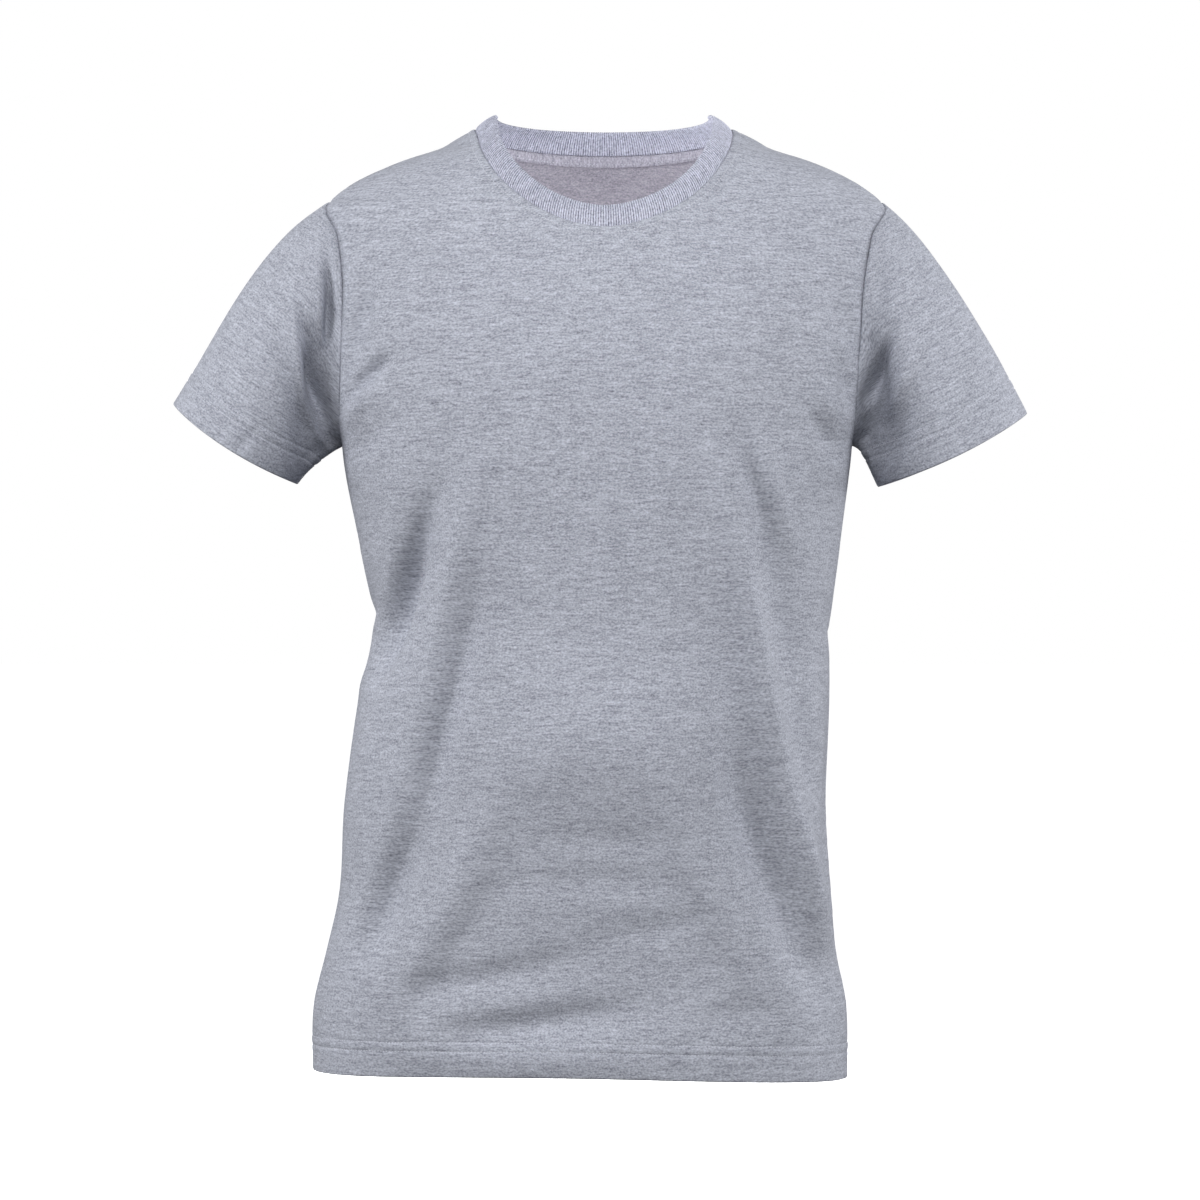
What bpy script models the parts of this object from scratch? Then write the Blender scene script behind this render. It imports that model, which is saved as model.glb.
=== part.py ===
"""A crew neck t-shirt as it hangs when worn, hollow, with no wearer in it.

Front, back, two set-in sleeves, a rib collar and the tape over the back neck seam are separate pieces, a seam's
gap apart. Metres, +Z up, the front faces -Y, and +X is the wearer's left. The origin is midway between the two
high shoulder points, where the collar seam crosses the shoulder seams.
"""

import math
from collections import defaultdict, namedtuple

import bpy
import numpy as np

GARMENT = "crew_neck_t_shirt"

# The cloth, as walls.
JERSEY_WALL = 0.0012
HEM_WALL = 0.0022  # two plies where the hem is turned up
RIB_WALL = 0.0022  # rib folded double
TAPE_WALL = 0.0009
SEAM_GAP = 0.0003
TAPE_GAP = 0.0006
HEM_HEIGHT = 0.026
HEM_STEP = 0.002  # the turned edge of the hem, where the wall goes from two plies to one

# The worn body of the shirt, section by section. centre is how far the section's middle lies to +X. half_width
# reaches the side seam, the armhole seam or the shoulder seam, whichever is at that height, and front and back
# are the depths of the cloth on the middle line.
# squareness is the section's exponent: 2 is an ellipse, more is squarer and less is more pointed at the sides.
Section = namedtuple("Section", "z centre half_width front back squareness")
SECTIONS = [
    Section(-0.706, -0.015, 0.200, 0.113, 0.113, 2.30),
    Section(-0.652, -0.015, 0.199, 0.112, 0.110, 2.30),
    Section(-0.615, -0.014, 0.191, 0.112, 0.107, 2.30),
    Section(-0.577, -0.011, 0.185, 0.112, 0.104, 2.30),
    Section(-0.502, -0.011, 0.180, 0.113, 0.098, 2.35),
    Section(-0.427, -0.005, 0.176, 0.115, 0.094, 2.35),
    Section(-0.371, 0.001, 0.171, 0.117, 0.094, 2.35),
    Section(-0.315, 0.000, 0.179, 0.121, 0.098, 2.35),
    Section(-0.236, -0.002, 0.191, 0.125, 0.108, 2.35),
    Section(-0.175, 0.000, 0.1925, 0.122, 0.114, 2.30),
    Section(-0.114, 0.0025, 0.1935, 0.110, 0.111, 2.10),
    Section(-0.083, 0.0035, 0.1985, 0.099, 0.105, 1.95),
    Section(-0.054, 0.0045, 0.2065, 0.087, 0.097, 1.84),
    Section(-0.040, 0.004, 0.188, 0.080, 0.091, 1.84),
    Section(-0.022, 0.004, 0.146, 0.071, 0.082, 1.95),
    Section(-0.0145, 0.004, 0.1225, 0.067, 0.078, 2.05),
    Section(-0.010, 0.004, 0.115, 0.065, 0.076, 2.15),
    Section(0.000, 0.002, 0.096, 0.060, 0.070, 2.30),
]
HEM_FRONT_RISE = 0.007
HEM_BACK_RISE = 0.003
HEM_TILT = 0.015  # drop of the hem per metre towards +X

# The armhole, seen from the side.
UNDERARM_Z = -0.236
SHOULDER_TIP_Z = -0.054
ARMHOLE_FRONT = 0.050
ARMHOLE_BACK = 0.055

# The neck seam, seen from the front: a superellipse quarter on each side.
NECK_HALF_WIDTH = 0.096
FRONT_NECK_DROP = 0.081
BACK_NECK_DROP = 0.010
NECK_ROUNDNESS = 1.8
COLLAR_WIDTH = 0.0195
COLLAR_BOW = 0.0012
Lean = namedtuple("Lean", "front side back")
COLLAR_LEAN = Lean(math.radians(60), math.radians(36), math.radians(58))  # above the horizontal
NECK_MIDDLE_Y = -0.006
TAPE_WIDTH = 0.009

# The sleeves. side is -1 for the wearer's right. outer and inner are the cuff's top and bottom corners as (x, z),
# and half_depth is its size along Y. top_slope and under_slope are how steeply, in degrees, the sleeve leaves the
# armhole, and fullness how far it keeps to that slope, as a share of the way to the cuff.
Sleeve = namedtuple("Sleeve", "name side outer inner half_depth middle_y top_slope under_slope fullness")
SLEEVES = [
    Sleeve("sleeve_right", -1, (-0.3195, -0.206), (-0.227, -0.266), 0.060, -0.002, 31, 38, 0.35),
    Sleeve("sleeve_left", 1, (0.320, -0.213), (0.2085, -0.268), 0.057, -0.002, 37, 16, 0.20),
]
CUFF_BOW = 0.005  # how far the cuff's edge bows down between its corners
CUFF_FULLNESS = 0.36  # as fullness, at the cuff
SLEEVE_BULGE = 0.35  # how much the sleeve swells forwards and back as it leaves the armhole

# The largest folds. A body fold runs between two points given by the angle around the body in degrees, from the
# front and growing towards +X, and by z. A sleeve fold's angle is around the sleeve, from its top line over the
# front, and along is the share of the way to the cuff. bow bends its middle sideways. A positive height is a
# ridge, and a negative one a trough.
Fold = namedtuple("Fold", "angle_a z_a angle_b z_b bow width height")
BODY_FOLDS = [
    Fold(-50, -0.270, -78, -0.410, 0.000, 0.017, -0.0075),
    Fold(-44, -0.270, -66, -0.490, 0.006, 0.018, 0.0060),
    Fold(-36, -0.260, -57, -0.520, 0.004, 0.020, -0.0050),
    Fold(-28, -0.490, -60, -0.680, 0.000, 0.026, 0.0050),
    Fold(43, -0.220, 66, -0.430, -0.006, 0.018, 0.0060),
    Fold(38, -0.300, 68, -0.590, -0.008, 0.022, -0.0065),
    Fold(38, -0.520, 62, -0.670, 0.000, 0.024, 0.0050),
    Fold(-44, -0.672, 34, -0.640, -0.006, 0.012, -0.0035),
    Fold(-102, -0.330, -132, -0.500, 0.004, 0.022, -0.0060),
    Fold(104, -0.300, 134, -0.480, -0.004, 0.022, -0.0060),
    Fold(-118, -0.300, -146, -0.520, 0.004, 0.024, 0.0050),
    Fold(120, -0.290, 148, -0.560, -0.004, 0.024, 0.0050),
    Fold(170, -0.330, 196, -0.560, 0.000, 0.024, -0.0040),
]
BODY_RADIUS = 0.165  # turns a fold's angles into distances
SleeveFold = namedtuple("SleeveFold", "angle_a along_a angle_b along_b width height")
SLEEVE_FOLDS = {
    "sleeve_right": [
        SleeveFold(66, 0.10, 140, 0.30, 0.011, -0.0070),
        SleeveFold(84, 0.28, 150, 0.80, 0.012, 0.0055),
        SleeveFold(285, 0.15, 215, 0.60, 0.014, -0.0060),
    ],
    "sleeve_left": [
        SleeveFold(92, 0.10, 152, 0.40, 0.011, -0.0065),
        SleeveFold(98, 0.34, 160, 0.82, 0.012, 0.0050),
        SleeveFold(280, 0.15, 210, 0.60, 0.014, -0.0060),
    ],
}
SLEEVE_LENGTH = 0.150
SLEEVE_RADIUS = 0.056

# How finely the cloth is faceted.
COLUMNS = 13  # from the middle line to the side seam
BODY_ROWS = 15
ARMHOLE_ROWS = 9
SHOULDER_ROWS = 4
SLEEVE_ROWS = 7
COLLAR_ROWS = 2

# Colours and finish, linear.
Finish = namedtuple("Finish", "name colour roughness")
JERSEY = Finish("heather_jersey", (0.40, 0.41, 0.47), 0.92)
RIB = Finish("heather_rib", (0.36, 0.37, 0.43), 0.92)
TWILL_TAPE = Finish("neck_tape", (0.36, 0.35, 0.41), 0.90)


def along_body(column, z):
    """A column of SECTIONS at height z, on a smooth curve through the rows."""
    heights = np.array([s.z for s in SECTIONS])
    values = np.array([getattr(s, column) for s in SECTIONS])
    slopes = np.gradient(values, heights)
    z = min(max(z, heights[0]), heights[-1])
    i = min(max(int(np.searchsorted(heights, z)) - 1, 0), len(heights) - 2)
    step = heights[i + 1] - heights[i]
    t = (z - heights[i]) / step
    rise = values[i + 1] - values[i]
    start, end = slopes[i] * step - rise, rise - slopes[i + 1] * step
    return values[i] + t * rise + t * (1 - t) * ((1 - t) * start + t * end)


def armhole_depth(face, z):
    """How far the armhole seam lies before or behind the side line at height z, or 0 above and below it."""
    middle = (UNDERARM_Z + SHOULDER_TIP_Z) / 2
    reach = (z - middle) / (SHOULDER_TIP_Z - middle)
    depth = ARMHOLE_FRONT if face == "front" else ARMHOLE_BACK
    return depth * math.sqrt(max(0.0, 1 - reach * reach))


def section(face, z):
    """(centre, full half width, depth) of the section: it passes through the armhole seam where there is one."""
    depth = along_body(face, z)
    power = along_body("squareness", z)
    seam = (armhole_depth(face, z) / depth) ** power
    return along_body("centre", z), along_body("half_width", z) / (1 - seam) ** (1 / power), depth


def edge_angle(face, z):
    """The eccentric angle at which the panel ends, at its side, armhole or shoulder seam."""
    _, half_width, depth = section(face, z)
    return math.atan2(along_body("half_width", z) / half_width, armhole_depth(face, z) / depth)


def angle_at(face, x, z):
    """The eccentric angle of the point of the section that lies x from the section's middle."""
    _, half_width, _ = section(face, z)
    power = along_body("squareness", z)
    across = min(1.0, abs(x) / half_width)
    return math.copysign(math.atan2(across, (1 - across**power) ** (1 / power)), x)


def bump(angle, z, fold, radius):
    """A fold's height at a point: full along its middle and fading to nothing at its ends and sides."""
    run = np.array([(fold.angle_b - fold.angle_a) * radius, fold.z_b - fold.z_a])
    turns = round((angle - fold.angle_a) / math.tau)
    point = np.array([(angle - turns * math.tau - fold.angle_a) * radius, z - fold.z_a])
    share = float(point @ run / (run @ run))
    if not 0 < share < 1:
        return 0.0
    aside = float(run[0] * point[1] - run[1] * point[0]) / math.hypot(*run)
    aside -= fold.bow * math.sin(math.pi * share)
    return fold.height * math.sin(math.pi * share) ** 0.8 * math.exp(-((aside / fold.width) ** 2))


def in_radians(fold):
    return fold._replace(angle_a=math.radians(fold.angle_a), angle_b=math.radians(fold.angle_b))


def body_point(face, eccentric, z):
    """The outer surface of the body of the shirt."""
    centre, half_width, depth = section(face, z)
    polar = math.atan2(half_width * math.sin(eccentric), depth * math.cos(eccentric))
    across, ahead = abs(math.sin(polar)) / half_width, abs(math.cos(polar)) / depth
    power = along_body("squareness", z)
    radius = (across**power + ahead**power) ** (-1 / power)
    around = polar if face == "front" else math.pi - polar
    radius += sum(bump(around, z, in_radians(fold), BODY_RADIUS) for fold in BODY_FOLDS)
    forwards = -1 if face == "front" else 1
    return np.array([centre + radius * math.sin(polar), forwards * radius * math.cos(polar), z])


def shoulder_height(half_width):
    """The height of the shoulder seam where it is that far from the middle."""
    slope = [s for s in SECTIONS if s.z >= SHOULDER_TIP_Z]
    return float(np.interp(-half_width, [-s.half_width for s in slope], [s.z for s in slope]))


def round_neck(face, share, grown=0.0):
    """(eccentric angle, z) on the neck seam, share of the way from the middle to the shoulder seam.

    grown moves the line down the panel, all round."""
    top = shoulder_height(NECK_HALF_WIDTH + grown)
    low = -grown - (FRONT_NECK_DROP if face == "front" else BACK_NECK_DROP)
    turn = math.pi / 2 * abs(share)
    x = along_body("half_width", top) * math.sin(turn) ** (2 / NECK_ROUNDNESS)
    z = top + (low - top) * max(0.0, math.cos(turn)) ** (2 / NECK_ROUNDNESS)
    return math.copysign(angle_at(face, x, z), share), z


def side_heights():
    """The heights at which a panel's upper rows meet the armhole and shoulder seams."""
    middle, half = (UNDERARM_Z + SHOULDER_TIP_Z) / 2, (SHOULDER_TIP_Z - UNDERARM_Z) / 2
    armhole = [middle - half * math.cos(math.pi * k / ARMHOLE_ROWS) for k in range(1, ARMHOLE_ROWS)]
    top = shoulder_height(NECK_HALF_WIDTH + TAPE_WIDTH)
    shoulder = [SHOULDER_TIP_Z + (top - SHOULDER_TIP_Z) * k / SHOULDER_ROWS for k in range(SHOULDER_ROWS + 1)]
    return armhole + shoulder


def panel_grid(face):
    """A panel's outer surface as rows of points from the hem up to the neck, and the wall at each row."""
    rise = HEM_FRONT_RISE if face == "front" else HEM_BACK_RISE
    length = UNDERARM_Z - SECTIONS[0].z
    above_hem = HEM_HEIGHT + HEM_STEP
    ups = [0.0, HEM_HEIGHT / 2, HEM_HEIGHT]
    ups += [above_hem + (length - above_hem) * k / BODY_ROWS for k in range(BODY_ROWS + 1)]
    shares = [j / COLUMNS for j in range(-COLUMNS, COLUMNS + 1)]
    rows = []
    for up in ups:
        row = []
        for share in shares:
            z = SECTIONS[0].z + up
            angle = edge_angle(face, z) * share
            lift = rise * math.cos(angle) ** 2 - HEM_TILT * SECTIONS[0].half_width * math.sin(angle)
            row.append(body_point(face, angle, z + lift * (1 - up / length) ** 2))
        rows.append(row)
    heights = side_heights()
    reach = heights[-1] - UNDERARM_Z
    for height in heights:
        risen = (height - UNDERARM_Z) / reach
        row = []
        for share in shares:
            neck_angle, neck_z = round_neck(face, share, TAPE_WIDTH)
            angle = edge_angle(face, height) * share + risen * (neck_angle - math.pi / 2 * share)
            row.append(body_point(face, angle, UNDERARM_Z + (neck_z - UNDERARM_Z) * risen))
        rows.append(row)
    rows.append([body_point(face, *round_neck(face, share)) for share in shares])
    walls = [HEM_WALL if up <= HEM_HEIGHT else JERSEY_WALL for up in ups]
    walls += [JERSEY_WALL] * (len(rows) - len(walls))
    return np.array(rows), walls


def armhole_ring(sleeve, grids):
    """The armhole seam as (turn, point), turn growing from 0 at the underarm, over the front to the tip, and back."""
    middle, half = (UNDERARM_Z + SHOULDER_TIP_Z) / 2, (SHOULDER_TIP_Z - UNDERARM_Z) / 2
    edge = -1 if sleeve.side > 0 else 0
    ring = []
    for face, start, step in (("front", 0, 1), ("back", ARMHOLE_ROWS, -1)):
        rows = grids[face][0][-(ARMHOLE_ROWS + SHOULDER_ROWS + 2):]
        for k in range(ARMHOLE_ROWS):
            point = rows[start + step * k][edge]
            turn = math.acos(max(-1.0, min(1.0, (middle - point[2]) / half)))
            ring.append((turn if face == "front" else math.tau - turn, point))
    return ring


def sleeve_grid(sleeve, grids):
    """A sleeve's outer surface, as rings of points from the armhole to the cuff, and the wall at each ring."""
    outer, inner = (np.array([x, sleeve.middle_y, z]) for x, z in (sleeve.outer, sleeve.inner))
    centre, half_width = (outer + inner) / 2, np.linalg.norm(inner - outer) / 2
    inwards = (inner - outer) / (2 * half_width)
    axis = np.array([-inwards[2], 0.0, inwards[0]]) * sleeve.side
    ring = armhole_ring(sleeve, grids)
    rows = []
    for i in range(SLEEVE_ROWS + 3):
        row = []
        for turn, start in ring:
            over = (1 - math.cos(turn)) / 2
            slope = math.radians(sleeve.top_slope * over + sleeve.under_slope * (1 - over))
            leave = np.array([sleeve.side * math.cos(slope), -SLEEVE_BULGE * math.sin(turn), -math.sin(slope)])
            front = np.array([0.0, -sleeve.half_depth * math.sin(turn), 0.0])
            end = centre + inwards * half_width * math.cos(turn) + front + axis * CUFF_BOW * math.sin(turn) ** 2
            length = np.linalg.norm(end - start)
            leave *= sleeve.fullness * length / np.linalg.norm(leave)
            controls = (start, start + leave, end - axis * CUFF_FULLNESS * length, end)
            plain = 1 - (HEM_HEIGHT + HEM_STEP) / length
            share = plain * i / SLEEVE_ROWS
            if i > SLEEVE_ROWS:
                share = 1 - HEM_HEIGHT / length * (SLEEVE_ROWS + 2 - i)
            weights = [math.comb(3, k) * share**k * (1 - share) ** (3 - k) for k in range(4)]
            row.append(sum(w * c for w, c in zip(weights, controls)))
        rows.append(row)
    rows = np.array(rows)
    across = np.roll(rows, -1, axis=1) - np.roll(rows, 1, axis=1)
    outward = np.cross(np.gradient(rows, axis=0), across) * sleeve.side
    outward /= np.linalg.norm(outward, axis=2)[..., None]
    for i in range(1, len(rows)):
        along = SLEEVE_LENGTH * i / (len(rows) - 1)
        for k, (turn, _) in enumerate(ring):
            height = sum(bump(turn, along, sleeve_path(fold), SLEEVE_RADIUS) for fold in SLEEVE_FOLDS[sleeve.name])
            rows[i, k] += outward[i, k] * height
    return rows, [JERSEY_WALL] * (SLEEVE_ROWS + 1) + [HEM_WALL] * 2


def sleeve_path(fold):
    """A sleeve's fold with its ends as turns from the underarm and distances from the armhole."""
    ends = [math.radians(180 - fold.angle_a), fold.along_a * SLEEVE_LENGTH]
    ends += [math.radians(180 - fold.angle_b), fold.along_b * SLEEVE_LENGTH]
    return Fold(*ends, 0.0, fold.width, fold.height)


def collar_grid(grids):
    """The collar's outer face, as rings rising inwards from the neck seam, and the wall at each ring."""
    seam = np.concatenate([grids["front"][0][-1][:-1], grids["back"][0][-1][:0:-1]])
    middle = np.array([along_body("centre", 0.0), NECK_MIDDLE_Y, 0.0])
    rows = []
    for i in range(COLLAR_ROWS + 1):
        share = i / COLLAR_ROWS
        row = []
        for point in seam:
            inwards = (middle - point) * (1, 1, 0)
            inwards /= np.linalg.norm(inwards)
            end = COLLAR_LEAN.front if inwards[1] > 0 else COLLAR_LEAN.back
            lean = COLLAR_LEAN.side + (end - COLLAR_LEAN.side) * abs(inwards[1]) ** 1.5
            upwards = np.array([0.0, 0.0, 1.0])
            rise = inwards * math.cos(lean) + upwards * math.sin(lean)
            swell = upwards * math.cos(lean) - inwards * math.sin(lean)
            row.append(point + rise * COLLAR_WIDTH * share + swell * COLLAR_BOW * math.sin(math.pi * share))
        rows.append(row)
    return np.array(rows), [RIB_WALL] * len(rows)


def surface(grid, ring, outward_first):
    """A grid of points as (points, faces, walls); a ring's rows close on themselves."""
    rows, walls = grid
    count = len(rows[0])
    faces = []
    for i in range(len(rows) - 1):
        for j in range(count if ring else count - 1):
            k = (j + 1) % count
            corners = [i * count + j, i * count + k, (i + 1) * count + k, (i + 1) * count + j]
            faces.append(corners if outward_first else corners[::-1])
    return [point for row in rows for point in row], faces, [wall for wall in walls for _ in range(count)]


def seam_key(point):
    """Points of two pieces that meet at a seam have the same key."""
    return tuple(int(round(c * 1e6)) for c in point)


def point_normals(points, faces):
    """A normal for each point, summed over the faces round it."""
    normals = np.zeros((len(points), 3))
    for face in faces:
        corners = [points[i] for i in face]
        area = sum(np.cross(corners[k] - corners[0], corners[k + 1] - corners[0]) for k in range(1, len(face) - 1))
        for i in face:
            normals[i] += area
    return normals / np.linalg.norm(normals, axis=1)[:, None]


def rim_edges(faces):
    """The surface's open edges, each in the direction of its face."""
    edges = {(a, b) for face in faces for a, b in zip(face, face[1:] + face[:1])}
    return [(a, b) for a, b in edges if (b, a) not in edges]


def rim_triangles(a, b, count, a_first):
    """The rim's wall at an edge, split the same way in both of the pieces that meet along it."""
    if a_first:
        return [[b, a, a + count], [b, a + count, b + count]]
    return [[b, a, b + count], [a, a + count, b + count]]


def drawn_back(points, faces, normals):
    """The points, with those on the rim moved into the piece by half the seam's gap."""
    inward = defaultdict(lambda: np.zeros(3))
    for a, b in rim_edges(faces):
        along = points[b] - points[a]
        into = np.cross((normals[a] + normals[b]) / 2, along)
        for i in (a, b):
            inward[i] += into / np.linalg.norm(into)
    moved = list(points)
    for i, into in inward.items():
        into = into / np.linalg.norm(into)
        slant = math.sqrt(max(0.09, 1 - float(into @ normals[i]) ** 2))
        moved[i] = points[i] + into * (SEAM_GAP / 2) / slant
    return moved


def add_wall(name, surface, normals, finish, collection):
    """A closed wall on the inner side of a surface, as a mesh object."""
    points, faces, walls = surface
    outer = drawn_back(points, faces, normals)
    inner = [p - n * wall for p, n, wall in zip(outer, normals, walls)]
    count = len(outer)
    solid = [list(face) for face in faces]
    solid += [[i + count for i in reversed(face)] for face in faces]
    for a, b in rim_edges(faces):
        solid += rim_triangles(a, b, count, seam_key(points[a]) < seam_key(points[b]))
    mesh = bpy.data.meshes.new(name)
    mesh.from_pydata([tuple(p) for p in outer + inner], [], solid)
    mesh.validate()
    mesh.shade_smooth()
    mesh.set_sharp_from_angle(angle=math.radians(50))
    mesh.materials.append(material(finish))
    collection.objects.link(bpy.data.objects.new(name, mesh))


def material(finish):
    made = bpy.data.materials.get(finish.name) or bpy.data.materials.new(finish.name)
    made.use_nodes = True
    shader = made.node_tree.nodes["Principled BSDF"]
    shader.inputs["Base Color"].default_value = (*finish.colour, 1.0)
    shader.inputs["Roughness"].default_value = finish.roughness
    shader.inputs["Metallic"].default_value = 0.0
    return made


def main():
    for obj in list(bpy.data.objects):
        bpy.data.objects.remove(obj)
    shirt = bpy.data.collections.new(GARMENT)
    bpy.context.scene.collection.children.link(shirt)
    grids = {"front": panel_grid("front"), "back": panel_grid("back")}
    surfaces = {"front": surface(grids["front"], False, True), "back": surface(grids["back"], False, False)}
    for sleeve in SLEEVES:
        surfaces[sleeve.name] = surface(sleeve_grid(sleeve, grids), True, sleeve.side < 0)
    surfaces["collar"] = surface(collar_grid(grids), True, True)
    normals = {name: point_normals(points, faces) for name, (points, faces, _) in surfaces.items()}
    shared = defaultdict(lambda: np.zeros(3))
    for name, (points, _, _) in surfaces.items():
        for point, normal in zip(points, normals[name]):
            shared[seam_key(point)] += normal
    for name, (points, _, _) in surfaces.items():
        mean = np.array([shared[seam_key(point)] for point in points])
        normals[name] = mean / np.linalg.norm(mean, axis=1)[:, None]
        add_wall(name, surfaces[name], normals[name], RIB if name == "collar" else JERSEY, shirt)
    rows = grids["back"][0][-2:]
    inward = normals["back"][-rows[..., 0].size:].reshape(rows.shape)
    tape = surface((rows - inward * (JERSEY_WALL + TAPE_GAP), [TAPE_WALL] * 2), False, False)
    add_wall("neck_tape", tape, inward.reshape(-1, 3), TWILL_TAPE, shirt)


main()
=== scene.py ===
"""A heather grey crew neck t-shirt, filled out as on its wearer and hollow, in its own cloth.

Front, back, sleeves, collar and neck tape are shells with their creases, hems and seams. Stitches and
rib come from Geometry Nodes. Metres, +Z up, the front faces -Y, +X is the wearer's left, and the origin
is midway between the high shoulder points.
"""

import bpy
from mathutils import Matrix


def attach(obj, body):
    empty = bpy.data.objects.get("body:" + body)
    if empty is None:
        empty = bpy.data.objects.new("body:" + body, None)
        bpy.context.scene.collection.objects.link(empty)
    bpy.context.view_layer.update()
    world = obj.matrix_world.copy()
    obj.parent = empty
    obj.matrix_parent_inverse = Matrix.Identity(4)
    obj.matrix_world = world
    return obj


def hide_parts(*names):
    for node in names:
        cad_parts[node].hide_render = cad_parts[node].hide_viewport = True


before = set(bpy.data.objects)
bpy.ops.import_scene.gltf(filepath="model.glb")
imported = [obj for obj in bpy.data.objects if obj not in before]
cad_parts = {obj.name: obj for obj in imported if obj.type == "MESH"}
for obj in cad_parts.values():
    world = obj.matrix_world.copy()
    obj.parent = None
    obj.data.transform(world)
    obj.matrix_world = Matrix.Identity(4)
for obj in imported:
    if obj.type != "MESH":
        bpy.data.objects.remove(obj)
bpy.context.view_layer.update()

import math
from collections import namedtuple

import bpy
import numpy as np
from bpy.props import FloatProperty, FloatVectorProperty, IntProperty, PointerProperty
from mathutils import Vector, noise

bl_info = {
    "name": "Crew neck t-shirt",
    "version": (1, 0, 0),
    "blender": (4, 5, 0),
    "location": "3D View > Sidebar > T-shirt",
    "description": "Builds a worn, hollow crew neck t-shirt in heather jersey",
    "category": "Object",
}

# The worn body, section by section. centre is how far the section's middle lies to +X. half_width reaches
# the side seam, the armhole seam or the shoulder seam, front and back are the depths on the middle line,
# and squareness is the section's exponent.
Section = namedtuple("Section", "z centre half_width front back squareness")
SECTIONS = [
    Section(-0.706, -0.015, 0.200, 0.113, 0.113, 2.30),
    Section(-0.652, -0.015, 0.199, 0.112, 0.110, 2.30),
    Section(-0.615, -0.014, 0.191, 0.112, 0.107, 2.30),
    Section(-0.577, -0.011, 0.185, 0.112, 0.104, 2.30),
    Section(-0.502, -0.011, 0.180, 0.113, 0.098, 2.35),
    Section(-0.427, -0.005, 0.176, 0.115, 0.094, 2.35),
    Section(-0.371, 0.001, 0.171, 0.117, 0.094, 2.35),
    Section(-0.315, 0.000, 0.179, 0.121, 0.098, 2.35),
    Section(-0.236, -0.002, 0.191, 0.125, 0.108, 2.35),
    Section(-0.175, 0.000, 0.1925, 0.122, 0.114, 2.30),
    Section(-0.114, 0.0025, 0.1935, 0.110, 0.111, 2.10),
    Section(-0.083, 0.0035, 0.1985, 0.099, 0.105, 1.95),
    Section(-0.054, 0.0045, 0.2065, 0.087, 0.097, 1.84),
    Section(-0.040, 0.004, 0.188, 0.080, 0.091, 1.84),
    Section(-0.022, 0.004, 0.146, 0.071, 0.082, 1.95),
    Section(-0.0145, 0.004, 0.1225, 0.067, 0.078, 2.05),
    Section(-0.010, 0.004, 0.115, 0.065, 0.076, 2.15),
    Section(0.000, 0.002, 0.096, 0.060, 0.070, 2.30),
]
HEM_RISE = {"front": 0.007, "back": 0.003}
HEM_TILT = 0.015  # drop of the hem per metre towards +X
HALF_GIRTH = 0.255  # half of a panel's width along the cloth
ARMHOLE_RUN = 0.15  # beside the armhole there is a row for every half facet of this
SLEEVE_RUN = 0.28  # a sleeve has a row for every facet of this, closer than elsewhere

# The armhole, seen from the side, and the neck seam, a superellipse quarter on each side.
UNDERARM_Z = -0.236
SHOULDER_TIP_Z = -0.054
ARMHOLE_MIDDLE_Z = (UNDERARM_Z + SHOULDER_TIP_Z) / 2
ARMHOLE_DEPTH = {"front": 0.050, "back": 0.055}
WAIST_OF_ARMHOLE = 0.25  # share by which a panel's columns draw together beside the armhole
NECK_HALF_WIDTH = 0.096
NECK_DROP = {"front": 0.081, "back": 0.010}
NECK_ROUNDNESS = 1.8
NECK_MIDDLE = (0.002, -0.006)
Lean = namedtuple("Lean", "front side back")
COLLAR_LEAN = Lean(60, 36, 58)  # degrees above the horizontal

# The sleeves: the cuff's top and bottom corners as (x, z), its half size along Y, and how the cloth leaves
# the armhole, in degrees below the horizontal.
Sleeve = namedtuple("Sleeve", "name side outer inner half_depth middle_y top_slope under_slope fullness")
SLEEVES = [
    Sleeve("sleeve_right", -1, (-0.3195, -0.206), (-0.227, -0.266), 0.060, -0.002, 31, 38, 0.35),
    Sleeve("sleeve_left", 1, (0.320, -0.213), (0.2085, -0.268), 0.057, -0.002, 37, 16, 0.20),
]
CUFF_BOW = 0.005  # how far the cuff's edge bows down between its corners
CUFF_FULLNESS = 0.36  # as fullness, at the cuff
SLEEVE_BULGE = 0.35  # how much the sleeve swells forwards and back as it leaves the armhole

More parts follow.
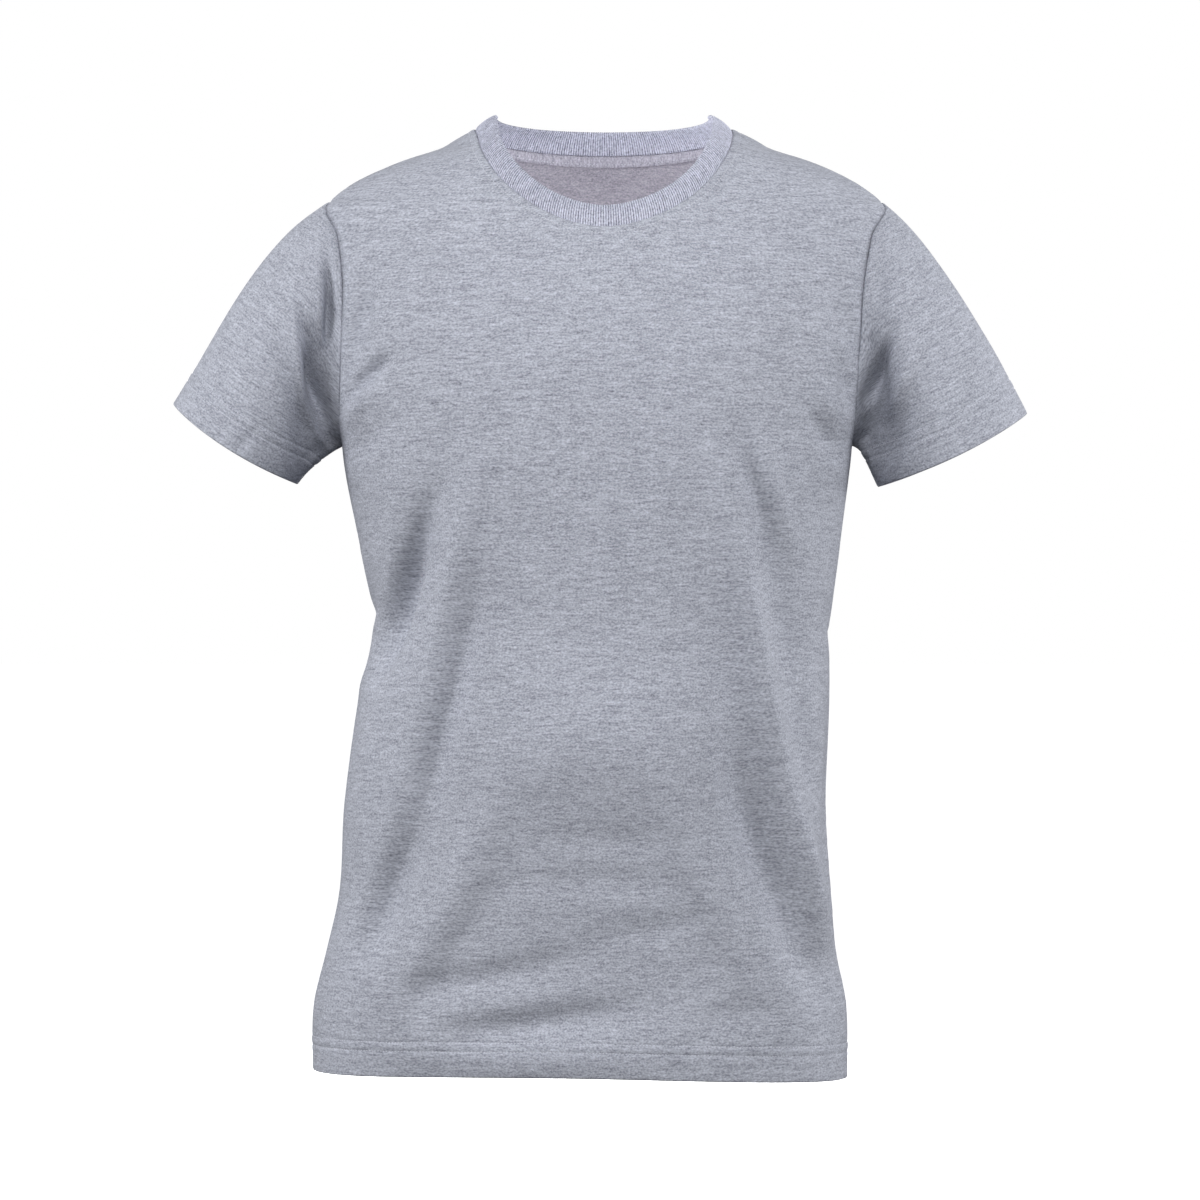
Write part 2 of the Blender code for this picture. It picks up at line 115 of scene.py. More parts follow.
# Creases, by the piece they are on and the side they are seen from. Each runs through three points as seen
# from that side, as (across, z), where across is x from the front or back and y from the left or right.
# width is half its breadth and height its rise: a trough is negative. skew makes one flank wider than the
# other, and peak is the share of its length where it is fullest.
Crease = namedtuple("Crease", "start middle end width height skew peak")
CREASES = {
    ("front", "front"): [
        # the wearer's right
        Crease((-0.1080, -0.240), (-0.1425, -0.342), (-0.170, -0.425), 0.0084, -0.0180, 0.1, 0.56),
        Crease((-0.0890, -0.235), (-0.1190, -0.400), (-0.168, -0.580), 0.0112, 0.0095, -0.1, 0.38),
        Crease((-0.1340, -0.222), (-0.1475, -0.290), (-0.160, -0.365), 0.0085, 0.0036, 0.0, 0.50),
        Crease((-0.0800, -0.310), (-0.1110, -0.430), (-0.146, -0.585), 0.0140, -0.0092, 0.1, 0.52),
        Crease((-0.0640, -0.440), (-0.1000, -0.560), (-0.158, -0.668), 0.0165, 0.0095, 0.1, 0.50),
        Crease((-0.1320, -0.500), (-0.1550, -0.566), (-0.182, -0.630), 0.0120, -0.0120, 0.2, 0.52),
        Crease((-0.0800, -0.550), (-0.1150, -0.620), (-0.150, -0.682), 0.0130, -0.0048, 0.0, 0.50),
        Crease((-0.1600, -0.400), (-0.1700, -0.470), (-0.184, -0.540), 0.0110, 0.0018, 0.0, 0.50),
        # the wearer's left
        Crease((0.0880, -0.225), (0.1180, -0.420), (0.172, -0.640), 0.0105, 0.0118, 0.1, 0.44),
        Crease((0.0700, -0.300), (0.0900, -0.415), (0.117, -0.540), 0.0150, -0.0050, 0.1, 0.52),
        Crease((0.1350, -0.470), (0.1510, -0.550), (0.172, -0.628), 0.0085, 0.0092, 0.0, 0.52),
        Crease((0.0360, -0.430), (0.0670, -0.540), (0.120, -0.655), 0.0160, 0.0062, 0.0, 0.55),
        Crease((0.1080, -0.205), (0.1260, -0.268), (0.144, -0.335), 0.0078, 0.0060, 0.0, 0.55),
        Crease((0.0960, -0.215), (0.1110, -0.275), (0.128, -0.345), 0.0070, -0.0046, 0.0, 0.50),
        Crease((0.1180, -0.290), (0.1380, -0.400), (0.158, -0.505), 0.0110, -0.0038, 0.0, 0.45),
        Crease((0.0840, -0.425), (0.1130, -0.528), (0.164, -0.652), 0.0135, -0.0130, 0.1, 0.56),
        Crease((0.131, -0.230), (0.145, -0.275), (0.156, -0.340), 0.0070, 0.0028, 0.0, 0.45),
        Crease((0.1460, -0.385), (0.1600, -0.460), (0.172, -0.548), 0.0100, 0.0030, 0.0, 0.50),
        Crease((0.150, -0.600), (0.162, -0.642), (0.172, -0.685), 0.0120, -0.0032, 0.0, 0.45),
        # under the chest, over the belly and above the hem
        Crease((-0.034, -0.190), (-0.033, -0.262), (-0.030, -0.345), 0.0085, -0.0010, 0.0, 0.50),
        Crease((-0.001, -0.222), (0.002, -0.295), (0.000, -0.380), 0.0100, -0.0011, 0.0, 0.45),
        Crease((0.025, -0.200), (0.029, -0.262), (0.034, -0.325), 0.0085, -0.0009, 0.0, 0.55),
        Crease((-0.059, -0.235), (-0.065, -0.310), (-0.076, -0.400), 0.0125, -0.0017, 0.0, 0.50),
        Crease((0.054, -0.250), (0.059, -0.350), (0.066, -0.470), 0.0130, -0.0018, 0.0, 0.50),
        Crease((-0.125, -0.475), (0.000, -0.460), (0.125, -0.475), 0.0560, 0.0135, 0.0, 0.50),
        Crease((-0.130, -0.630), (0.000, -0.626), (0.130, -0.630), 0.0460, -0.0062, 0.0, 0.50),
        Crease((-0.190, -0.722), (-0.045, -0.720), (0.150, -0.722), 0.0280, -0.0105, 0.0, 0.45),
        Crease((-0.136, -0.668), (-0.040, -0.660), (0.072, -0.640), 0.0135, -0.0080, -0.2, 0.45),
        Crease((-0.160, -0.640), (-0.084, -0.627), (0.022, -0.602), 0.0125, -0.0048, -0.2, 0.45),
        Crease((-0.098, -0.564), (-0.007, -0.556), (0.082, -0.560), 0.0100, -0.0018, 0.0, 0.50),
        Crease((-0.034, -0.598), (0.035, -0.592), (0.096, -0.574), 0.0095, -0.0020, 0.0, 0.50),
        Crease((-0.060, -0.530), (0.015, -0.526), (0.078, -0.536), 0.0090, -0.0013, 0.0, 0.50),
        Crease((0.056, -0.668), (0.105, -0.653), (0.154, -0.662), 0.0105, -0.0022, 0.0, 0.50),
        # drawn towards the underarms
        Crease((-0.1690, -0.105), (-0.1760, -0.145), (-0.1865, -0.195), 0.0062, -0.0085, 0.2, 0.50),
        Crease((-0.1440, -0.1700), (-0.1671, -0.1856), (-0.1900, -0.213), 0.0058, -0.0078, 0.2, 0.55),
        Crease((-0.1540, -0.1900), (-0.1730, -0.2050), (-0.1900, -0.230), 0.0070, 0.0040, 0.0, 0.60),
        Crease((-0.1440, -0.2150), (-0.1640, -0.2300), (-0.1880, -0.256), 0.0080, -0.0024, 0.0, 0.60),
        Crease((0.1660, -0.110), (0.1780, -0.143), (0.1945, -0.186), 0.0065, -0.0045, -0.2, 0.55),
        Crease((0.1700, -0.160), (0.1800, -0.188), (0.1870, -0.215), 0.0055, -0.0038, 0.0, 0.55),
        Crease((0.1460, -0.212), (0.1624, -0.230), (0.1800, -0.257), 0.0070, -0.0038, 0.0, 0.55),
        Crease((0.1480, -0.190), (0.1650, -0.206), (0.1840, -0.232), 0.0070, 0.0024, 0.0, 0.55),
    ],
    ("back", "back"): [
        Crease((-0.120, -0.270), (-0.140, -0.360), (-0.152, -0.470), 0.0130, -0.0070, 0.2, 0.45),
        Crease((-0.092, -0.290), (-0.125, -0.420), (-0.168, -0.570), 0.0150, 0.0062, 0.0, 0.50),
        Crease((-0.058, -0.350), (-0.086, -0.470), (-0.122, -0.630), 0.0180, -0.0055, 0.2, 0.45),
        Crease((0.122, -0.250), (0.142, -0.350), (0.150, -0.465), 0.0120, -0.0066, -0.2, 0.50),
        Crease((0.096, -0.270), (0.121, -0.400), (0.157, -0.545), 0.0150, 0.0058, 0.1, 0.45),
        Crease((0.050, -0.330), (0.075, -0.450), (0.100, -0.610), 0.0180, -0.0050, -0.1, 0.55),
        Crease((-0.020, -0.330), (-0.012, -0.430), (-0.016, -0.540), 0.0150, -0.0032, 0.0, 0.50),
        Crease((-0.094, -0.340), (0.000, -0.374), (0.100, -0.346), 0.0110, -0.0050, 0.2, 0.50),
        Crease((-0.074, -0.394), (0.010, -0.416), (0.088, -0.396), 0.0110, 0.0038, 0.0, 0.55),
        Crease((-0.060, -0.432), (0.016, -0.450), (0.080, -0.438), 0.0110, -0.0032, 0.0, 0.45),
        Crease((-0.130, -0.168), (-0.162, -0.190), (-0.192, -0.222), 0.0075, -0.0046, 0.0, 0.60),
        Crease((0.126, -0.163), (0.160, -0.186), (0.192, -0.218), 0.0075, -0.0046, 0.0, 0.60),
        Crease((-0.158, -0.075), (-0.176, -0.120), (-0.191, -0.175), 0.0090, -0.0042, 0.0, 0.50),
        Crease((0.162, -0.075), (0.180, -0.120), (0.195, -0.176), 0.0090, -0.0042, 0.0, 0.50),
        Crease((-0.150, -0.652), (-0.060, -0.640), (0.034, -0.655), 0.0085, -0.0030, 0.0, 0.50),
        Crease((0.020, -0.640), (0.090, -0.628), (0.156, -0.645), 0.0085, -0.0026, 0.0, 0.50),
    ],
    # round the sides, across both panels
    ("body", "right"): [
        Crease((-0.054, -0.326), (-0.010, -0.364), (0.046, -0.346), 0.0085, -0.0030, 0.2, 0.50),
        Crease((-0.058, -0.395), (0.000, -0.414), (0.054, -0.383), 0.0095, 0.0012, 0.0, 0.50),
        Crease((0.030, -0.290), (0.015, -0.430), (0.030, -0.570), 0.0140, -0.0038, 0.0, 0.50),
    ],
    ("body", "left"): [
        Crease((-0.048, -0.350), (0.000, -0.380), (0.054, -0.360), 0.0090, -0.0020, 0.2, 0.50),
        Crease((-0.030, -0.440), (-0.022, -0.540), (-0.042, -0.650), 0.0130, -0.0034, 0.0, 0.50),
        Crease((0.035, -0.290), (0.020, -0.440), (0.036, -0.610), 0.0150, 0.0036, 0.0, 0.50),
    ],
    ("sleeve_right", "front"): [
        Crease((-0.2010, -0.120), (-0.2070, -0.188), (-0.2180, -0.268), 0.0155, -0.0135, 0.0, 0.62),
        Crease((-0.2010, -0.090), (-0.1985, -0.135), (-0.1945, -0.185), 0.0040, -0.0130, 0.0, 0.55),
        Crease((-0.2215, -0.118), (-0.2105, -0.182), (-0.1930, -0.228), 0.0046, -0.0110, 0.1, 0.55),
        Crease((-0.2275, -0.116), (-0.2185, -0.190), (-0.1990, -0.250), 0.0038, 0.0055, -0.2, 0.62),
        Crease((-0.2055, -0.192), (-0.1995, -0.222), (-0.1950, -0.250), 0.0052, -0.0060, 0.0, 0.5),
        Crease((-0.2400, -0.135), (-0.2308, -0.176), (-0.2180, -0.204), 0.0065, -0.0036, 0.0, 0.5),
        Crease((-0.2160, -0.118), (-0.2065, -0.158), (-0.2000, -0.184), 0.0055, -0.0034, 0.0, 0.5),
        Crease((-0.2700, -0.245), (-0.2609, -0.236), (-0.2510, -0.222), 0.0040, -0.0026, 0.0, 0.4),
        Crease((-0.2500, -0.120), (-0.2560, -0.170), (-0.2520, -0.210), 0.0120, 0.0024, 0.0, 0.5),
    ],
    ("sleeve_right", "back"): [
        Crease((-0.2300, -0.115), (-0.2180, -0.175), (-0.1980, -0.218), 0.0080, -0.0080, 0.0, 0.5),
        Crease((-0.2480, -0.145), (-0.2360, -0.200), (-0.2120, -0.240), 0.0090, 0.0050, 0.0, 0.5),
        Crease((-0.2600, -0.125), (-0.2620, -0.180), (-0.2480, -0.225), 0.0110, -0.0036, 0.0, 0.5),
    ],
    ("sleeve_left", "front"): [
        Crease((0.1985, -0.130), (0.2030, -0.195), (0.2100, -0.264), 0.0150, -0.0125, 0.0, 0.62),
        Crease((0.2200, -0.135), (0.2060, -0.179), (0.1870, -0.220), 0.0046, -0.0110, -0.1, 0.6),
        Crease((0.2340, -0.150), (0.2200, -0.196), (0.1990, -0.232), 0.0070, 0.0045, 0.0, 0.5),
        Crease((0.2010, -0.206), (0.1945, -0.230), (0.1900, -0.252), 0.0055, -0.0058, 0.0, 0.5),
        Crease((0.2340, -0.184), (0.2235, -0.224), (0.2140, -0.260), 0.0070, -0.0042, 0.0, 0.5),
        Crease((0.2140, -0.082), (0.2070, -0.120), (0.2030, -0.160), 0.0075, -0.0034, 0.0, 0.5),
        Crease((0.2560, -0.118), (0.2640, -0.170), (0.2600, -0.216), 0.0130, 0.0024, 0.0, 0.5),
    ],
    ("sleeve_left", "back"): [
        Crease((0.2280, -0.120), (0.2160, -0.180), (0.1960, -0.222), 0.0080, -0.0078, 0.0, 0.5),
        Crease((0.2480, -0.145), (0.2350, -0.204), (0.2120, -0.245), 0.0090, 0.0048, 0.0, 0.5),
        Crease((0.2620, -0.130), (0.2640, -0.185), (0.2480, -0.230), 0.0110, -0.0036, 0.0, 0.5),
    ],
}
View = namedtuple("View", "axis sign")  # which coordinate runs across, and the sign of the facing normal
VIEWS = {"front": View(0, -1), "back": View(0, 1), "right": View(1, -1), "left": View(1, 1)}
CREASE_STEPS = 41  # points along a crease from which distances are taken
CREASE_MARGIN = 0.06  # how far past its ends a crease may bow

# Distances from an edge at which the cloth has rows of its own: for a seam, and for a turned-up hem.
SEAM_ROWS = [0.0, 0.0005, 0.0010, 0.0016, 0.0024, 0.0035, 0.0050]
HEM_ROWS = [0.0, 0.00015, 0.0004, 0.0008, 0.0012, 0.0025, 0.005, 0.009, 0.013, 0.0165, 0.0184, 0.0191,
            0.0195, 0.0199, 0.0206, 0.0227, 0.0249, 0.0256, 0.0260, 0.0264, 0.0271, 0.0285, 0.0310]
FAR = 1.0  # stands for a distance that is too great to matter

# What seams and rows of stitches do to the cloth: half breadths and distances, with ripples in radians a
# metre, so that those beside a seam are 11 and 27 mm long and those beside a hem 8 and 15 mm.
SEAM_BREADTH = 0.0006
SEAM_LINE = 0.0003  # the ripples begin this far from the seam
ALLOWANCE_RISE, ALLOWANCE_MIDDLE, ALLOWANCE_BREADTH = 0.00022, 0.0035, 0.0025
SEAM_RIPPLES, SEAM_RIPPLE_REACH = (590, 233), 0.007
STITCH_BREADTH = 0.0009
HEM_RIPPLES, HEM_RIPPLE_REACH = (760, 433), 0.008
HEM_PLY_RISE = 0.00025  # what the turned-up ply adds outside
UNDER_SEAM_BREADTH = 0.0015  # the sleeve's own seam, under the arm
SEAM_EASE = 0.012  # how far from a seam the cloth eases over to meet its neighbour
THINNEST = 0.00012  # the wall at the very edge of a fold

# The collar's section: heights up the band outside and inside, how far it bows out, how its seam draws in,
# and how near the seam the ribs fade.
COLLAR_OUTSIDE = (0.0, 0.0004, 0.0010, 0.0018, 0.003, 0.005, 0.0075, 0.010, 0.0125, 0.015, 0.0168)
COLLAR_INSIDE = (0.0165, 0.0135, 0.0105, 0.0075, 0.0045, 0.002, 0.0)
COLLAR_FOLD_STEPS = 6
COLLAR_BOW = 0.0012
COLLAR_SEAM_DIP, COLLAR_SEAM_BREADTH = 0.0006, 0.0011
RIB_FADE = 0.002
STEPS_A_RIB = 6

# The tape's two rows of stitches, as shares of its width from the neck seam, and how they draw it in.
TAPE_STITCHES = (0.12, 0.85)
TAPE_GAP = 0.0003
TAPE_DIP, TAPE_DIP_BREADTH = 0.0002, 0.0007
CUFF_STITCH_DROP = 0.001  # how much lower the rows of stitches lie on a cuff than on the hem
THREAD_LIFT = 0.15  # share of its thickness by which the thread's middle stands on the cloth

# Lights of the studio. Each looks at its aim, or at the middle of the view where it has none.
Lamp = namedtuple("Lamp", "name place size power aim")
LAMPS = [
    Lamp("front", (0.0, -3.2, 0.2), 1.4, 11, None),
    Lamp("above", (0.0, -2.6, 1.7), 1.2, 49, None),
    Lamp("left", (-2.6, -1.4, 0.45), 1.2, 63, None),
    Lamp("right", (2.6, -1.3, 0.40), 1.2, 52, None),
    Lamp("behind_right", (2.4, 1.0, 0.4), 1.2, 21, None),
    Lamp("behind_left", (-2.4, 1.0, 0.4), 1.2, 11, None),
    Lamp("back", (0.0, 3.2, 0.2), 1.4, 62, None),
    Lamp("inside", (0.0, -0.02, -0.42), 0.14, 1.2, (0.0, 0.05, 0.05)),
]
FLOOR_REACH = 40.0  # from the middle of the floor to its sides


def linear(code):
    """An sRGB hex colour as linear RGB."""
    channels = [int(code[i : i + 2], 16) / 255 for i in (1, 3, 5)]
    return tuple(c / 12.92 if c <= 0.04045 else ((c + 0.055) / 1.055) ** 2.4 for c in channels)


def length_property(name, description, value):
    return FloatProperty(name=name, description=description, default=value, unit="LENGTH", precision=5)


def colour_property(name, description, code):
    return FloatVectorProperty(
        name=name, description=description, default=linear(code), subtype="COLOR", size=3, min=0, max=1
    )


class ShirtSizes(bpy.types.PropertyGroup):
    """Sizes of the cloth, its seams and hems."""

    wall: length_property("Cloth thickness", "Thickness of a single ply of jersey", 0.0009)
    hem_wall: length_property("Hem thickness", "Thickness where the hem is turned up", 0.0019)
    hem_height: length_property("Hem height", "Height of the turned-up hem", 0.0265)
    lower_stitch: length_property("Lower hem row", "Height of the hem's lower row of stitches", 0.0195)
    upper_stitch: length_property("Upper hem row", "Height of the hem's upper row of stitches", 0.0260)
    seam_dip: length_property("Seam dip", "How far the cloth is drawn in at a seam", 0.0007)
    stitch_dip: length_property("Stitch dip", "How far a row of stitches draws the cloth in", 0.00050)
    pucker: length_property("Pucker", "Rise of the ripples beside stitches and seams", 0.00022)
    slack: length_property("Slack", "Rise of the soft unevenness all over", 0.0007)
    facet: length_property("Facet", "Distance between the cloth's rows and columns", 0.0040)
    creasing: FloatProperty(name="Creasing", description="Share of the creases' full height", default=1.0)


class CollarSizes(bpy.types.PropertyGroup):
    """Sizes of the rib collar and the tape inside it."""

    width: length_property("Collar width", "Width of the folded band", 0.0195)
    wall: length_property("Collar thickness", "Thickness of the folded band", 0.0022)
    rib_pitch: length_property("Rib pitch", "Distance from rib to rib", 0.0019)
    rib_depth: length_property("Rib depth", "Depth of the channels between ribs", 0.00038)
    topstitch: length_property("Neck topstitch", "From the neck seam to the stitches below it", 0.0050)
    tape_width: length_property("Tape width", "Width of the tape over the back neck seam", 0.0090)
    tape_wall: length_property("Tape thickness", "Thickness of the neck tape", 0.0008)


class StitchSizes(bpy.types.PropertyGroup):
    """Sizes of the stitches."""

    pitch: length_property("Stitch pitch", "Distance from stitch to stitch", 0.0024)
    length: length_property("Stitch length", "Length of the thread that shows", 0.0017)
    thread: length_property("Thread", "Thickness of the thread", 0.00050)
    seed: IntProperty(name="Seed", description="Seed of the stitches' small differences", default=7)


class ShirtColours(bpy.types.PropertyGroup):
    """Colours of the cloth and thread."""

    jersey: colour_property("Jersey", "Mean colour of the heather jersey", "#a2a5b1")
    jersey_reverse: colour_property("Jersey inside", "Mean colour of the cloth's reverse", "#98959f")
    contrast: FloatProperty(
        name="Melange", description="How far the yarn's dark and pale fibres differ", default=0.64
    )
    rib: colour_property("Rib", "Mean colour of the collar's rib", "#a8aaba")
    tape: colour_property("Tape", "Colour of the neck tape", "#a8a6b2")
    thread: colour_property("Thread", "Colour of the sewing thread", "#ced0d9")


class StageSizes(bpy.types.PropertyGroup):
    """Camera, floor and lights."""

    distance: length_property("Camera distance", "From the camera to the shirt", 3.0)
    view_width: length_property("View width", "Width of the view at the shirt", 0.90)
    middle_height: length_property("View height", "Height at the middle of the view", -0.3525)
    floor_height: length_property("Floor height", "Height of the floor under the hanging shirt", -1.05)
    floor: colour_property("Floor", "Colour of the floor", "#f4f4f4")
    ambient: FloatProperty(name="Ambient", description="Brightness of the light all round", default=0.06)


# ---- the form of the shirt -----------------------------------------------------------------------


def along_body(column, z):
    """A column of SECTIONS at heights z, on a smooth curve through the rows."""
    heights = np.array([s.z for s in SECTIONS])
    values = np.array([getattr(s, column) for s in SECTIONS])
    slopes = np.gradient(values, heights)
    z = np.clip(z, heights[0], heights[-1])
    i = np.clip(np.searchsorted(heights, z) - 1, 0, len(heights) - 2)
    step = heights[i + 1] - heights[i]
    t = (z - heights[i]) / step
    rise = values[i + 1] - values[i]
    start, end = slopes[i] * step - rise, rise - slopes[i + 1] * step
    return values[i] + t * rise + t * (1 - t) * ((1 - t) * start + t * end)


def armhole_depth(face, z):
    """How far the armhole seam lies before or behind the side line, or 0 above and below it."""
    reach = (z - ARMHOLE_MIDDLE_Z) / (SHOULDER_TIP_Z - ARMHOLE_MIDDLE_Z)
    return ARMHOLE_DEPTH[face] * np.sqrt(np.clip(1 - reach * reach, 0, None))


def section(face, z):
    """(centre, full half width, depth, squareness), so that the section passes through the armhole seam."""
    depth, power = along_body(face, z), along_body("squareness", z)
    seam = (armhole_depth(face, z) / depth) ** power
    return along_body("centre", z), along_body("half_width", z) / (1 - seam) ** (1 / power), depth, power


def section_radius(polar, half_width, depth, power):
    """How far a section's outline is from its middle, at the angle polar round from straight ahead."""
    across, ahead = np.abs(np.sin(polar)) / half_width, np.abs(np.cos(polar)) / depth
    return (across**power + ahead**power) ** (-1 / power)


def edge_angle(face, z):
    """The eccentric angle at which a panel ends, at its side, armhole or shoulder seam."""
    _, half_width, depth, _ = section(face, z)
    return np.arctan2(along_body("half_width", z) / half_width, armhole_depth(face, z) / depth)


def angle_at(face, x, z):
    """The eccentric angle of the point that lies x from the section's middle."""
    _, half_width, _, power = section(face, z)
    across = np.clip(np.abs(x) / half_width, 0, 1)
    return np.sign(x) * np.arctan2(across, np.clip(1 - across**power, 0, None) ** (1 / power))


def smooth_body(face, angle, z):
    """The body's outer surface before any crease."""
    centre, half_width, depth, power = section(face, z)
    polar = np.arctan2(half_width * np.sin(angle), depth * np.cos(angle))
    radius = section_radius(polar, half_width, depth, power)
    forwards = -1 if face == "front" else 1
    x, y = centre + radius * np.sin(polar), forwards * radius * np.cos(polar)
    return np.stack([x, y, z + 0 * radius], axis=-1)


def body_normals(face, angle, z):
    """Outward unit normals of the smooth body."""
    step = 0.0005
    around = smooth_body(face, angle + step, z) - smooth_body(face, angle - step, z)
    upwards = smooth_body(face, angle, z + step) - smooth_body(face, angle, z - step)
    return unit(np.cross(around, upwards) if face == "front" else np.cross(upwards, around))


def unit(vectors):
    return vectors / np.maximum(np.linalg.norm(vectors, axis=-1), 1e-12)[..., None]


def shoulder_height(half_width):
    """The height of the shoulder seam where it is that far from the middle."""
    slope = [s for s in SECTIONS if s.z >= SHOULDER_TIP_Z]
    return float(np.interp(-half_width, [-s.half_width for s in slope], [s.z for s in slope]))


def neck_line(face, shares, grown):
    """(eccentric angles, heights) on the neck seam, or on a line that lies grown below it."""
    top = shoulder_height(NECK_HALF_WIDTH + grown)
    low = -grown - NECK_DROP[face]
    turn = math.pi / 2 * np.abs(shares)
    x = along_body("half_width", top) * np.sin(turn) ** (2 / NECK_ROUNDNESS)
    z = top + (low - top) * np.clip(np.cos(turn), 0, None) ** (2 / NECK_ROUNDNESS)
    return angle_at(face, np.copysign(x, shares), z), z


def spread(start, end, step):
    """Numbers from just after start up to end, about a step apart."""
    count = max(1, round(abs(end - start) / step))
    return [start + (end - start) * (k + 1) / count for k in range(count)]


def panel_shares(facet):
    """The columns of a panel, from -1 at one side seam to 1 at the other, closer together at the seams."""
    outer = [1 - distance / HALF_GIRTH for distance in SEAM_ROWS][::-1]
    inner = [0.0] + spread(0.0, outer[0], facet / HALF_GIRTH)
    half = inner[:-1] + outer
    return np.array([-share for share in half[:0:-1]] + half)


# A panel's points, with their outward normals. up is each row's height above the hem, seam each point's
# distance from the side seams, and neck each row's distance from the neck seam. armhole is the range of
# rows that meet the armhole, and extra is how much longer the creases make each row up to a point.
Panel = namedtuple("Panel", "points normals up seam neck armhole extra")


def panel_form(face, sizes, collar):
    """A panel's smooth surface, as rows of points from the hem to the neck."""
    shares = panel_shares(sizes.facet)
    bottom = SECTIONS[0].z
    length = UNDERARM_Z - bottom
    rows, up, neck = [], [], []
    for height in HEM_ROWS + spread(HEM_ROWS[-1], length, sizes.facet):
        z = bottom + height
        angle = edge_angle(face, z) * shares
        lift = HEM_RISE[face] * np.cos(angle) ** 2 - HEM_TILT * SECTIONS[0].half_width * np.sin(angle)
        rows.append((angle, z + lift * (1 - height / length) ** 2))
        up.append(height)
        neck.append(FAR)
    count = 2 * round(ARMHOLE_RUN / sizes.facet)
    half = (SHOULDER_TIP_Z - UNDERARM_Z) / 2
    top = shoulder_height(NECK_HALF_WIDTH + collar.tape_width)
    heights = [ARMHOLE_MIDDLE_Z - half * math.cos(math.pi * k / count) for k in range(1, count + 1)]
    heights += spread(SHOULDER_TIP_Z, top, sizes.facet / 2)
    armhole = (len(rows) - 1, len(rows) - 1 + count)
    neck_angle, neck_z = neck_line(face, shares, collar.tape_width)
    at_edge = 1 - (1 - np.abs(shares) ** 3) ** 2
    quarter = math.pi / 2
    for k, height in enumerate(heights, 1):
        even = k / len(heights)
        held = at_edge * min(1.0, (top - height) / (top - SHOULDER_TIP_Z))
        narrowed = 1 - WAIST_OF_ARMHOLE * math.sin(math.pi * min(1.0, k / count)) ** 2
        turn = narrowed * quarter + (edge_angle(face, height) - narrowed * quarter) * at_edge
        angle = turn * shares + even * (neck_angle - quarter * shares)
        z = UNDERARM_Z + (neck_z - UNDERARM_Z) * even * (1 - held) + (height - UNDERARM_Z) * held
        rows.append((angle, z))
        up.append(FAR)
        neck.append(FAR)
    beside = 0.0005
    stitched = {collar.topstitch + beside, collar.topstitch, collar.topstitch - beside}
    for distance in sorted(stitched | {collar.tape_width * 0.75} | set(SEAM_ROWS[:-1]), reverse=True):
        rows.append(neck_line(face, shares, distance))
        up.append(FAR)
        neck.append(distance)
    angles, heights = np.array(rows).transpose(1, 0, 2)
    points, normals = smooth_body(face, angles, heights), body_normals(face, angles, heights)
    neck = np.array(neck)
    neck[neck == FAR] = collar.tape_width + 0.01
    return Panel(points, normals, np.array(up), edge_distance(points), neck, armhole, None)


def line_distance(points, line):
    """Each point's distance from a line through a list of points."""
    start, run = line[:-1], np.diff(line, axis=0)
    length = np.maximum((run * run).sum(axis=1), 1e-12)
    nearest = np.full(len(points), FAR)
    batch = 4000
    for first in range(0, len(points), batch):
        away = points[first : first + batch, None] - start[None]
        share = np.clip((away * run).sum(axis=2) / length, 0, 1)
        gap = np.linalg.norm(away - share[..., None] * run, axis=2)
        nearest[first : first + batch] = gap.min(axis=1)
    return nearest


def edge_distance(points):
    """Each point's distance from the panel's nearer side, as far as its seam can be felt."""
    distance = np.full(points.shape[:2], FAR)
    count = len(SEAM_ROWS) + 6
    for columns, edge in ((slice(0, count), 0), (slice(-count, None), -1)):
        beside = points[:, columns]
        found = line_distance(beside.reshape(-1, 3), points[:, edge])
        distance[:, columns] = found.reshape(beside.shape[:2])
    return distance


def grid_normals(points, across, away):
    """Unit normals of a grid of points, turned to the side they lie away to on the whole."""
    normals = unit(np.cross(np.gradient(points, axis=0), across))
    return normals if np.einsum("ijk,ijk->ij", normals, away).mean() > 0 else -normals


def panel_normals(points):
    """Outward normals of a panel, which faces away from the shirt's upright axis."""
    return grid_normals(points, np.gradient(points, axis=1), points * (1, 1, 0))


def ring_normals(points):
    """Outward normals of a sleeve, whose rings face away from their middles."""
    across = np.roll(points, -1, axis=1) - np.roll(points, 1, axis=1)
    return grid_normals(points, across, points - points.mean(axis=1, keepdims=True))


def ridge(distance, breadth):
    """A soft ridge of height 1, by the distance from its crest."""
    return np.exp(-((distance / breadth) ** 2))


